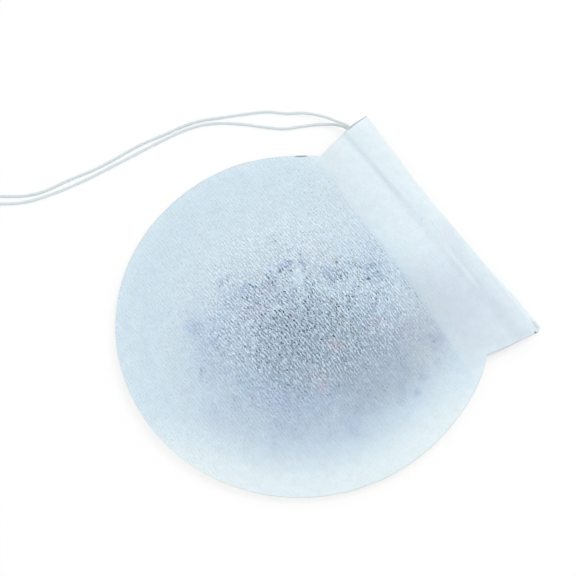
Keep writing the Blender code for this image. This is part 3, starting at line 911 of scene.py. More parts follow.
def fibre_colour(made, settings, at, body, smooth):
    """Colour of the fibres: the white of the body or the smooth parts, duller where the felt is
    thin, tinted over the tea, stained at its upper right, and darkened by painted shade on the hem's
    right half, in the band of a dent and over the tea under the flap."""
    body_white, hem_white = tuple(settings.body_white), tuple(settings.hem_white)
    bright = made.blend(smooth, (*body_white, 1.0), (*hem_white, 1.0))
    dull = made.blend(smooth, (*(DULL_BODY * channel for channel in body_white), 1.0),
                      (*(DULL_HEM * channel for channel in hem_white), 1.0))
    colour = made.blend(body, dull, bright)
    colour = made.blend(at.tea.ease(0.05, 0.40), colour, made.tint(colour, TEA_TINT))
    stained = at.x.ease(7.0, 20.0) * at.y.ease(-14.0, 4.0) * at.tea.ease(0.05, 0.45)
    colour = made.blend(stained, colour, made.tint(colour, STAIN))

    # Painted shade: darker over the hem's right half and in the band of a dent
    from_band_x = at.x - SHADED_BAND_MM[0]
    from_band_y = at.y - from_band_x * SHADED_BAND_SLOPE - SHADED_BAND_MM[1]
    band = (from_band_x / SHADED_BAND_HALF_MM[0]).power(2.0) + (from_band_y / SHADED_BAND_HALF_MM[1]).power(2.0)
    painted_hem_shade = (at.x.ease(2.0, 26.0) * 0.42 * at.hem).most(band.ease(1.6, 0.0) * 0.45)
    colour = made.blend(painted_hem_shade, colour, (*HEM_SHADE, 1.0))
    # Painted shade of the tea under the flap, seen through the hem
    from_covered = oval_field(*at.in_metres, UNDER_FLAP_CENTRE, 0.0, UNDER_FLAP_SIDE,
                              UNDER_FLAP_SIDE, UNDER_FLAP_UP, UNDER_FLAP_UP)
    covered = from_covered.ease(1.1, 0.1) * at.hem
    return made.blend(covered * 0.42, colour, (*UNDER_FLAP_SHADE, 1.0))


def crimp_and_highlight_lines(at):
    """Painted highlights: on the crease along the hem, whose paper is also crimped there, and on
    the strip of the back sheet past the front one.
    """
    crease_highlight = (at.y - at.x * CREASE_HIGHLIGHT_SLOPE - CREASE_HIGHLIGHT_Y_MM).size().ease(0.75, 0.15)
    crease_highlight = crease_highlight * at.x.ease(-24.0, -19.0) * at.x.ease(23.0, 16.0)
    from_mouth = at.y + at.x * math.tan(MOUTH_TURN) - MOUTH_DISTANCE * 1000
    strip = from_mouth.ease(-0.5, 0.0) * from_mouth.ease(2.2, 1.4)
    strip = strip * at.x.ease(5.0, 10.0) * at.x.ease(35.5, 33.0)
    return (crease_highlight * 0.95).most(strip)


def crumb_and_shadow_share(at):
    """Where the front sheet is dark: painted shadow along the hem's open left end, on the rim beside
    the left notch and at the mouth's right corner, and two dark crumbs at the other specks."""
    from_end = at.x - OPEN_END_X_MM + (at.y - OPEN_END_Y_MM) * OPEN_END_SLOPE
    dark = from_end.ease(0.26, 0.02) * at.y.ease(38.5, 41.0) * 0.6
    rim = at.radius.ease(*SHADOWED_RIM_MM) * at.y.ease(25.0, 26.0) * at.x.ease(-34.0, -34.8)
    dark = dark.most(rim)
    for speck_x, speck_y, size in SPECKS_MM:
        off_x, off_y = at.x - speck_x, at.y - speck_y
        dark = dark.most((off_x * off_x + off_y * off_y).power(0.5).ease(size, size * 0.4))
    return dark


def paper_finish(name, settings, shift, marked):
    """Filter paper: rows of short pinholes and white fibre streaks over soft clouds.

    The rows are strongest where tea presses the sheet, and the hem and the sealed rim are smooth. A
    hole passes light straight through; the rest scatters it, part back and part on. Shift moves the
    pattern, so that the two sheets differ, and a marked sheet has painted shadow at its edges and at
    the mouth's right corner, and two dark crumbs. Painted light whitens the hem's left and the rim's
    lit side, and painted highlights and painted shade lie on the hem.
    """
    made = Finish(name)
    at = SheetPlace(made)
    place = made.stretch(at.point, (1.0, 1.0, 1.0), (shift, shift * 0.7, 0.0))
    contrast = row_contrast(made, place, at)
    hole, dash, streak = pinhole_rows(made, place, shift, settings)
    body = felt_body(made, place)
    # Smooth hem, and painted light on the hem's left and on the rim's lit side
    smooth = smooth_and_lit_share(at)
    # Fibre streaks, and the painted highlights on the crease and the back strip, take the streak
    # colour and glow
    white = (streak * contrast.ease(0.0, 0.6)).most(crimp_and_highlight_lines(at))
    colour = made.blend(white, fibre_colour(made, settings, at, body, smooth),
                        (*settings.streak, 1.0))
    clear = settings.see_through * (1.35 - body * 0.7) + contrast * (dash * 0.50 - streak * 0.30)
    clear = clear.most(0.02) + at.tea.ease(0.45, 1.0) * 0.16
    clear = clear + (settings.hole_clear - clear) * hole * contrast
    relief = body * 0.5 + contrast * (streak * 0.5 - hole * 0.6 - dash * 0.4)

    fibres = made.surface(colour, 0.9, 0.2, {"Normal": made.bump(relief, 0.3, 0.00005)})
    body_glow, hem_glow, streak_glow = (
        made.node("ShaderNodeBsdfTranslucent", {}, {"Color": (*shade, 1.0)})
        for shade in (settings.body_glow, settings.hem_glow, settings.streak_glow))
    # The glow follows the same painted light and painted highlights
    glow = made.mix_shaders(white, made.mix_shaders(smooth, body_glow, hem_glow), streak_glow)
    scatter = made.add_shaders(fibres, glow)
    if marked:
        # Dark crumbs, and painted shadow in the hem's open end, by the left notch and at the mouth's
        # corner
        dark_marks = made.surface((*CRUMB_AND_SHADOW_COLOUR, 1.0), 0.9, 0.2, {})
        scatter = made.mix_shaders(crumb_and_shadow_share(at) * 0.8, scatter, dark_marks)
    opening = made.node("ShaderNodeBsdfTransparent", {}, {"Color": WHITE})
    return made.show(made.mix_shaders(clear, scatter, opening))


def inner_finish():
    """The inner face of a sheet: clear, because the outer face already scatters for both."""
    made = Finish("filter_paper_inside")
    return made.show(made.node("ShaderNodeBsdfTransparent", {}, {"Color": WHITE}))


def cotton_finish(settings):
    """Cotton yarn: a soft white with fine fibres that run round with the twist, darker in the
    hollows of their bump as painted shade in part.
    """
    made = Finish("cotton_yarn")
    along = made.node("ShaderNodeUVMap", {"uv_map": "cut"}, {})
    fibre = made.noise(made.stretch(along, (140.0, 14.0, 1.0)), 1.0, 3.0, 0.6)
    place = made.node("ShaderNodeTexCoord", {}, {}, "Object")
    fluff = made.noise(place, 5200.0, 2.0)
    colour = (*settings.colour, 1.0)
    dark = (*(YARN_SHADE * channel for channel in settings.colour), 1.0)
    # Darker where the fibre bump is low: painted shade in part, fibre tone in part
    yarn = made.surface(made.blend(fibre.ease(0.3, 0.7), dark, colour), 0.85, 0.25, {
        "Sheen Weight": 0.15, "Normal": made.bump(fibre + fluff * 0.4, 0.5, 0.00004)})
    glow = made.node("ShaderNodeBsdfTranslucent", {}, {"Color": colour})
    return made.show(made.mix_shaders(YARN_GLOW, yarn, glow))


def shared_yarn(settings):
    """The one cotton finish that the knot, the loose ends and the stretch in the hems share."""
    return bpy.data.materials.get("cotton_yarn") or cotton_finish(settings)


def leaf_finish(name):
    """Dried leaf: the piece's own tint with veins, darker spots and a crumpled skin."""
    made = Finish(name)
    tint = made.node("ShaderNodeAttribute", {"attribute_name": "tint"}, {}, "Color")
    place = made.node("ShaderNodeTexCoord", {}, {}, "Object")
    spots = made.noise(place, 900.0, 3.0, 0.6)
    veins = made.noise(made.stretch(place, (1.0, 3.0, 3.0)), 1500.0, 2.0)
    dark = made.tint(tint, (0.45, 0.42, 0.40))
    pale = made.tint(tint, (1.35, 1.32, 1.25))
    colour = made.blend(spots.ease(0.35, 0.65), dark, pale)
    normal = made.bump(spots + veins * 0.5, 0.6, 0.0001)
    return made.show(made.surface(colour, 0.7 + veins * 0.3, 0.3, {"Normal": normal}))


def dust_finish(name, settings):
    """Fine broken tea between the leaves: green, brown, violet and pale crumbs in drifts, which
    thin out to single crumbs towards the heap's foot."""
    made = Finish(name)
    place = made.node("ShaderNodeTexCoord", {}, {}, "Object")
    crumbs = made.node("ShaderNodeTexVoronoi", {"feature": "F1"},
                       {"Vector": place, "Scale": CRUMBS_PER_METRE}, "Color")
    pick, other, loose = made.channels(crumbs)
    drift = made.noise(place, 170.0, 3.0, 0.6)
    colour = made.blend(pick.ease(0.35, 0.65), (*settings.leaf_green, 1.0),
                        (*settings.leaf_brown, 1.0))
    colour = made.blend(other.ease(0.72, 0.85), colour, (*settings.petal_violet, 1.0))
    pale = (drift + (pick - 0.5) * 0.25).ease(0.50, 0.70)
    colour = made.blend(pale, colour, (*settings.pale_dust, 1.0))
    gap = made.node("ShaderNodeTexVoronoi", {"feature": "DISTANCE_TO_EDGE"},
                    {"Vector": place, "Scale": CRUMBS_PER_METRE})
    # Painted shade in the gaps between crumbs
    colour = made.blend(gap.ease(0.0, 0.10), (*CRUMB_GAP_SHADE, 1.0), colour)
    normal = made.bump(gap.ease(0.0, 0.3), 0.8, 0.0003)

    x, y = made.axes(place)
    y = y - DISC_CENTRE_Y
    from_heap = oval_field(x, y, HEAP_CENTRE, HEAP_LEAN, HEAP_SIDE, HEAP_SIDE, HEAP_UP, HEAP_DOWN)
    thick = (tea_field(x, y) + (drift - 0.5) * 0.5).ease(0.50, 0.95)
    solid = (thick * (1.1 - from_heap.ease(0.7, 1.0) * 1.2) - loose).ease(-0.06, 0.06)
    return made.show(made.surface(colour, 0.9, 0.2, {"Normal": normal, "Alpha": solid}))


# string
def smooth_route(points, steps=24):
    """Catmull-Rom curve through route points: on each span a cubic in t from its four points."""
    route = np.array(points)
    route = np.vstack([2 * route[0] - route[1], route, 2 * route[-1] - route[-2]])
    t = np.linspace(0.0, 1.0, steps, endpoint=False)[None, :, None]
    a, b, c, d = (route[start:len(route) - 3 + start, None, :] for start in range(4))
    curve = 0.5 * (2 * b + (c - a) * t + (2 * a - 5 * b + 4 * c - d) * t ** 2
                   + (3 * b - a - 3 * c + d) * t ** 3)
    return np.vstack([curve.reshape(-1, 3), route[-2:-1]])


def even_route(points, spacing):
    """Points a spacing apart along a line: each axis read off against the distance run."""
    along = np.append(0.0, np.cumsum(np.linalg.norm(np.diff(points, axis=0), axis=1)))
    wanted = np.linspace(0.0, along[-1], max(8, round(along[-1] / spacing)))
    return np.stack([np.interp(wanted, along, points[:, axis]) for axis in range(3)], axis=1)


def twisted_string(name, path, settings, reference, finish, fray=0.0):
    """A string of three plies along a path, with rounded ends.

    Round the path the radius is that of three overlapping circles, d cos a + sqrt(r squared less
    d squared sin squared a), and the angle turns evenly with the distance run. Fray is the share by
    which its end swells.
    """
    radius = settings.diameter / 2
    path = even_route(path, settings.twist / STEPS_PER_TURN)
    tangent = np.gradient(path, axis=0)
    tangent /= np.linalg.norm(tangent, axis=1, keepdims=True)
    side = np.cross(tangent, np.array(reference))
    side /= np.linalg.norm(side, axis=1, keepdims=True)
    above = np.cross(side, tangent)
    run = np.append(0.0, np.cumsum(np.linalg.norm(np.diff(path, axis=0), axis=1)))[:, None]

    angle = np.linspace(0.0, math.tau, STRING_SIDES, endpoint=False)[None, :]
    turned = angle - math.tau * run / settings.twist
    ply = (turned + math.pi / 3) % (math.tau / 3) - math.pi / 3
    offset, ply_radius = PLY_OFFSET * radius, PLY_RADIUS * radius
    reach = offset * np.cos(ply) + np.sqrt(ply_radius ** 2 - (offset * np.sin(ply)) ** 2)
    reach = reach * (1.0 + 0.05 * np.sin(run * 2300.0) + 0.04 * np.sin(run * 910.0 + 1.0))
    from_end = np.minimum(run, run[-1] - run)
    rounding = from_end / radius * (2 - np.minimum(from_end / radius, 1))
    reach = reach * np.sqrt(np.clip(rounding, 0.0, 1.0))
    if fray:
        reach = reach * (1.0 + fray * ease(run[-1] - FRAY_START, run[-1] - FRAY_END, run))
    points = (path[:, None, :] + reach[..., None] * (np.cos(angle)[..., None] * side[:, None, :]
                                                    + np.sin(angle)[..., None] * above[:, None, :]))
    faces = grid_faces(len(path), STRING_SIDES, closed_columns=True).reshape(-1, 4)
    uv = np.stack(np.broadcast_arrays(turned / math.tau, run * 1000.0 / STRING_UV_MM), axis=-1)
    item = add_mesh(name, points.reshape(-1, 3), faces, finish, uv.reshape(-1, 2))
    merge_doubles(item, 1e-7)
    return item, path


def left_exit_x():
    """X where the hem's left edge crosses the drawstring's line."""
    y = string_y(LEFT_CORNER_X)
    return float(middle_x(y) - neck_half_width(y))


def channel_height(x, y, side):
    """Height of the drawstring's middle line in the front or back channel."""
    return middle_height(np.asarray(x), np.asarray(y), 0.0) + side * STRING_OFFSET


def knot_place():
    """The knot's middle on the table, and the direction in which the ends run into it."""
    exit_x = left_exit_x()
    place = np.array([exit_x - STRING_GAP, string_y(exit_x)]) + np.array(KNOT_OFFSET) * ROUTE_UNIT
    ends = (np.array(FRONT_ROUTE[-1][:2]) + np.array(BACK_ROUTE[-1][:2])) / 2
    along = np.array(KNOT_OFFSET) - ends
    return place, along / np.linalg.norm(along)


def strand_route(drawn_route, side, diameter):
    """A loose end's points in the row's frame: out of the hem, down to the table, to the knot."""
    exit_x = left_exit_x()
    exit_y = string_y(exit_x)
    route = np.array(drawn_route) * ROUTE_UNIT
    hem_level = float(channel_height(exit_x, exit_y, side))
    table_level = diameter / 2 + STRAND_LIFT
    share = (route[:, 2] - route[-1, 2]) / (route[0, 2] - route[-1, 2])
    height = table_level + share * (hem_level - table_level)
    points = np.stack([exit_x - STRING_GAP + route[:, 0], exit_y + route[:, 1], height], axis=1)
    knot, along = knot_place()
    sideways = np.array([-along[1], along[0]]) * (diameter + STRING_GAP) / 2
    end = knot - along * (KNOT_LENGTH / 2 + STRING_GAP) - side * sideways
    points = np.vstack([points, [end[0], end[1], KNOT_HEIGHT / 2]])
    points[:, 1] += DISC_CENTRE_Y
    return points


def hem_route():
    """The drawstring's way in the row's frame: front hem, round the right end, back hem."""
    turn_x = RIGHT_CORNER_X - HEM_NOTCH_WIDTH + CHANNEL_EDGE
    runs = np.linspace(left_exit_x() - STRING_GAP, turn_x, 60)
    lines = string_y(runs)
    front = np.stack([runs, lines, channel_height(runs, lines, 1)], axis=1)
    back = np.stack([runs, lines, channel_height(runs, lines, -1)], axis=1)[::-1]
    angle = np.linspace(math.pi / 2, -math.pi / 2, 16)[1:-1]
    turn_y = string_y(turn_x)
    level = float(middle_height(np.asarray(turn_x), np.asarray(turn_y), 0.0))
    turn = np.stack([turn_x + STRING_OFFSET * np.cos(angle), np.full_like(angle, turn_y),
                     level + STRING_OFFSET * np.sin(angle)], axis=1)
    points = np.vstack([front, turn, back])
    points[:, 1] += DISC_CENTRE_Y
    return points


def knot_strand(side):
    """One strand's way through the knot in mm, along it, to its side and upwards.

    The loop is an overhand curve in powers of t: t cubed less 3 t, t to the fourth less 4 t squared,
    and a fifth of t to the fifth less 2 t, each times its size. A lead-in and a tail join its ends.
    """
    t = np.linspace(-2.0, 2.0, 11)
    length, width, height = KNOT_LOOP_MM
    loop = np.stack([length * (t ** 3 - 3 * t), width * (t ** 4 - 4 * t ** 2) + KNOT_LOOP_RISE_MM,
                     height * (t ** 5 / 5 - 2 * t)], axis=1)
    loop = loop + np.array(KNOT_SHIFT_MM) * side
    half_knot = KNOT_LENGTH * 500
    entry = np.array([[-half_knot - KNOT_LEAD_MM, -0.5 * side, 0.0]])
    tail_end = half_knot + TAIL_LENGTH * 1000 - 1.6
    tail = np.array([[2.6, -0.60 * side, -0.5], [4.2, -1.1 * side, -0.8],
                     [tail_end, -1.9 * side, -0.8]])
    return smooth_route(np.vstack([entry, loop, tail]), 16)


class TEABAG_OT_knot(bpy.types.Operator):
    """Make the knot that ties the two loose ends together, with its two tails"""

    bl_idname = "teabag.knot"
    bl_label = "Make Knot"

    def execute(self, context):
        settings = context.scene.teabag_string
        finish = shared_yarn(settings)
        place, along = knot_place()
        sideways = np.array([-along[1], along[0]])
        lowest = settings.diameter * KNOT_LOWEST + STRAND_LIFT
        strands = []
        for side in (1, -1):
            local = knot_strand(side) / 1000
            x = place[0] + local[:, 0] * along[0] + local[:, 1] * sideways[0]
            y = place[1] + local[:, 0] * along[1] + local[:, 1] * sideways[1]
            z = np.maximum(KNOT_HEIGHT / 2 + local[:, 2], lowest)
            path = np.stack([x, y + DISC_CENTRE_Y, z], axis=1)
            strand, _ = twisted_string(f"knot_{side}", path, settings, KNOT_REFERENCE, finish,
                                       TAIL_FRAY)
            strands.append(strand)
        context.view_layer.objects.active = strands[0]
        for item in context.view_layer.objects:
            item.select_set(item in strands)
        bpy.ops.object.join()
        knot = strands[0]
        knot.name = "string_knot"
        knot.data.name = "string_knot"
        finish_piece(knot, "cotton_string", "drawstring_knot")
        return {"FINISHED"}


class TEABAG_OT_string(bpy.types.Operator):
    """Make the drawstring: its stretch in the hems and its two loose ends, which run to the knot"""

    bl_idname = "teabag.string"
    bl_label = "Make String"

    def execute(self, context):
        settings = context.scene.teabag_string
        finish = shared_yarn(settings)
        hidden, _ = twisted_string("string_in_hem", hem_route(), settings, (0.0, 1.0, 0.0), finish)
        finish_piece(hidden, "cotton_string", "drawstring")
        for name, route, side, node, tied in (
                ("front_string", FRONT_ROUTE, 1, "drawstring_front_end", ["string_knot"]),
                ("back_string", BACK_ROUTE, -1, "drawstring_back_end", [])):
            points = smooth_route(strand_route(route, side, settings.diameter))
            strand, path = twisted_string(name, points, settings, (0.0, 0.0, 1.0), finish)
            finish_piece(strand, "cotton_string", node)
        return {"FINISHED"}


# paper
def sheet_grid(thickness, bulge, side):
    """One folded sheet as arrays of x, y, distance from the middle level and length on the cut.

    From row to row it runs from the disc's foot, by the disc's angle, up the neck and the channel in
    even shares, round the fold at the mouth by a half turn, and back inside to the flap's edge. Each
    row goes from the left edge to the right one. The back sheet also takes its overhang.
    """
    shares = np.linspace(-1.0, 1.0, PAPER_COLUMNS)[None, :]
    overhang_share = 0.0 if side > 0 else 1.0

    def neck_x(middle_y):
        return middle_x(middle_y) + neck_half_width(middle_y) * shares

    notch_angle = math.pi - math.asin(NOTCH_HALF_WIDTH / DISC_RADIUS)
    angle = np.linspace(0.0, notch_angle, DISC_ROWS + 1)[:, None]
    disc_y = -DISC_RADIUS * np.cos(angle) + 0.0 * shares
    disc_x = middle_x(disc_y) + DISC_RADIUS * np.sin(angle) * shares

    crease_middle = crease_y(0.0)
    share = np.linspace(0.0, 1.0, NECK_ROWS + 1)[1:, None]
    neck = neck_x(NOTCH_Y + share * (crease_middle - NOTCH_Y))
    neck_y = NOTCH_Y + share * (crease_y(neck) - NOTCH_Y)

    share = np.linspace(0.0, 1.0, CHANNEL_ROWS + 1)[1:, None]
    channel = neck_x(crease_middle + share * (MOUTH_DISTANCE - crease_middle))
    fold_y = mouth_y(channel) + overhang_share * overhang(channel) - FOLD_RADIUS
    channel_y = crease_y(channel) + share * (fold_y - crease_y(channel))

    outer_x = np.vstack([disc_x, neck, channel])
    outer_y = np.vstack([disc_y, neck_y, channel_y])
    outer_d = outer_layer(outer_x, outer_y, thickness, bulge)
    if side > 0:
        outer_d = outer_d + hem_marks(outer_x, outer_y)

    turn = np.linspace(math.pi / 2, -math.pi / 2, FOLD_ROWS + 2)[1:-1, None]
    edge_x = neck_x(np.full_like(turn, MOUTH_DISTANCE))
    edge_y = mouth_y(edge_x) + overhang_share * overhang(edge_x) - FOLD_RADIUS
    low = flap_layer(edge_x, edge_y, thickness)
    radius = (outer_d[-1:] - low) / 2
    turn_y = edge_y + FOLD_RADIUS * np.cos(turn)
    turn_d = low + radius * (1.0 + np.sin(turn))

    back_x = channel[::-1]
    back_y = channel_y[::-1]
    back_d = flap_layer(back_x, back_y, thickness) + bulge(back_x, back_y)
    flap_middle = flap_edge_y(0.0)
    share = np.linspace(0.0, 1.0, FLAP_ROWS + 1)[:, None]
    flap_x = neck_x(crease_middle + share * (flap_middle - crease_middle))
    flap_y = crease_y(flap_x) + share * (flap_edge_y(flap_x) - crease_y(flap_x))
    flap_d = flap_layer(flap_x, flap_y, thickness) + bulge(flap_x, flap_y)

    x = np.vstack([outer_x, edge_x, back_x, flap_x])
    y = np.vstack([outer_y, turn_y, back_y, flap_y])
    distance = np.vstack([outer_d, turn_d, back_d, flap_d])
    fold_row = len(outer_x)
    cut = np.where(np.arange(len(x))[:, None] < fold_row + FOLD_ROWS // 2, y, 2 * edge_y[:1] - y)
    return x, y, distance, cut


def string_notch(faces, points, rows):
    """Drop the flap's faces at the channel's right end, where the drawstring turns."""
    first = DISC_ROWS + 1 + NECK_ROWS + CHANNEL_ROWS + FOLD_ROWS + 1
    last = first + CHANNEL_ROWS - NOTCH_CLOSED_ROWS
    x = points.reshape(rows, PAPER_COLUMNS, 3)[:-1, :-1, 0]
    keep = np.ones(x.shape, dtype=bool)
    keep[first:last] = x[first:last] < RIGHT_CORNER_X - HEM_NOTCH_WIDTH
    return faces[keep]


def cut_area(x, cut):
    """Flat area of the cut sheet: the sum over its grid of width times length."""
    width = np.diff((x[1:] + x[:-1]) / 2, axis=1)
    length = np.diff((cut[:, 1:] + cut[:, :-1]) / 2, axis=0)
    return float(np.abs(width * length).sum())


def make_sheet(name, settings, bulge, side, finish, node):
    """A folded sheet of filter paper with its own thickness: side is 1 in front and -1 behind."""
    x, y, distance, cut = sheet_grid(settings.thickness, bulge, side)
    height = middle_height(x, y, settings.cockle) + side * distance
    points = np.stack([x, y + DISC_CENTRE_Y, height], axis=-1).reshape(-1, 3)
    rows = len(x)
    faces = string_notch(grid_faces(rows, PAPER_COLUMNS), points, rows)
    if side < 0:
        faces = faces[:, ::-1]
    uv = np.stack([x, cut], axis=-1).reshape(-1, 2)
    uv = (uv * 1000 + UV_START_MM) / UV_SIZE_MM
    sheet = add_mesh(name, points, faces, finish, uv)
    merge_doubles(sheet)
    wall = sheet.modifiers.new("Paper", "SOLIDIFY")
    wall.thickness = settings.thickness
    wall.offset = 0.0
    sheet.data.materials.append(bpy.data.materials.get("filter_paper_inside") or inner_finish())
    wall.material_offset = 1
    finish_piece(sheet, "filter_paper", node)
    flat = (float(np.ptp(x)), float(np.ptp(cut)))
    return sheet, flat, cut_area(x, cut)


class TEABAG_OT_paper(bpy.types.Operator):
    """Make the front and back sheets of filter paper"""

    bl_idname = "teabag.paper"
    bl_label = "Make Paper"

    def execute(self, context):
        settings = context.scene.teabag_paper
        front, flat, area = make_sheet(
            "front_paper", settings, front_bulge, 1,
            paper_finish("front_filter_paper", settings, 3.0, True), "front_sheet")
        back, flat, area = make_sheet(
            "back_paper", settings, back_bulge, -1,
            paper_finish("back_filter_paper", settings, 57.0, False), "back_sheet")
        return {"FINISHED"}


# leaves
def ceiling(x, y, paper):
    """Height of the front sheet's inner face."""
    layer = flap_layer(x, y, paper.thickness) + front_bulge(x, y) - paper.thickness / 2
    return middle_height(x, y, paper.cockle) + layer


def bottom(x, y, paper):
    """Height of the back sheet's inner face."""
    layer = flap_layer(x, y, paper.thickness) + back_bulge(x, y) - paper.thickness / 2
    return middle_height(x, y, paper.cockle) - layer


def heap_top(x, y, paper):
    """The heap's top: under the front sheet in the middle, and falling away towards its foot."""
    fall = HEAP_TOUCH + HEAP_FALL * ease(0.45, 1.05, heap_distance(x, y))
    return ceiling(x, y, paper) - fall


def curled_pieces(draw, length, width, along, around, curl):
    """Flat lenses, one for each length: x is the cosine and y and z are the sine of the step along
    it, then each is bent along and across by parabolas and waved a little."""
    step = np.linspace(0.0, math.pi, along)[None, :, None]
    angle = np.linspace(0.0, math.tau, around, endpoint=False)[None, None, :]

    def each(low, high):
        return draw.uniform(low, high, len(length))[:, None, None]

    half, side = length[:, None, None] / 2, width[:, None, None] / 2
    thin = np.minimum(half * 0.10, 0.00012)
    lens = thin * np.sin(step) * np.sin(angle)
    x = -half * np.cos(step) + 0.0 * angle
    y = side * np.sin(step) ** each(0.7, 1.3) * np.cos(angle)
    bent = each(-0.7, 0.7) * x ** 2 / half + each(-1.6, 1.6) * y ** 2 / side
    waved = each(-0.12, 0.12) * half * np.sin(3.0 * x / half + each(0, 6))
    y = y + curl * each(-0.4, 0.4) * x ** 2 / half
    return x, y, lens + curl * (bent + waved), lens, thin


def lay_pieces(name, shape, place, turn, tint, paper, finish):
    """Turn each lens by its tilt and heading, move it to its place and keep it between the sheets,
    with a little to spare; each has one colour."""
    leaf_x, leaf_y, leaf_z, lens, thin = shape
    heading, tilt = (angles[:, None, None] for angles in turn)
    tilted_y = leaf_y * np.cos(tilt) - leaf_z * np.sin(tilt)
    tilted_z = leaf_y * np.sin(tilt) + leaf_z * np.cos(tilt)
    place_x, place_y, place_z = (values[:, None, None] for values in place)
    x = place_x + leaf_x * np.cos(heading) - tilted_y * np.sin(heading)
    y = place_y + leaf_x * np.sin(heading) + tilted_y * np.cos(heading)
    spare = 0.00004
    z = np.minimum(place_z + tilted_z, ceiling(x, y, paper) - spare - thin + np.minimum(lens, 0.0))
    z = np.maximum(z, bottom(x, y, paper) + spare + thin + np.maximum(lens, 0.0))
    points = np.stack([x, y + DISC_CENTRE_Y, z], axis=-1).reshape(-1, 3)
    count, along, around = x.shape
    one = grid_faces(along, around, closed_columns=True).reshape(-1, 4)
    starts = np.arange(count)[:, None, None] * along * around
    item = add_mesh(name, points, (one[None] + starts).reshape(-1, 4), finish)
    rgba = np.ones((count * along * around, 4), dtype=np.float32)
    rgba[:, :3] = np.repeat(np.clip(tint, 0.0, 1.0), along * around, axis=0)
    item.data.attributes.new("tint", "FLOAT_COLOR", "POINT").data.foreach_set("color", rgba.ravel())
    merge_doubles(item, 1e-8)
    finish_piece(item, "dried_tea")


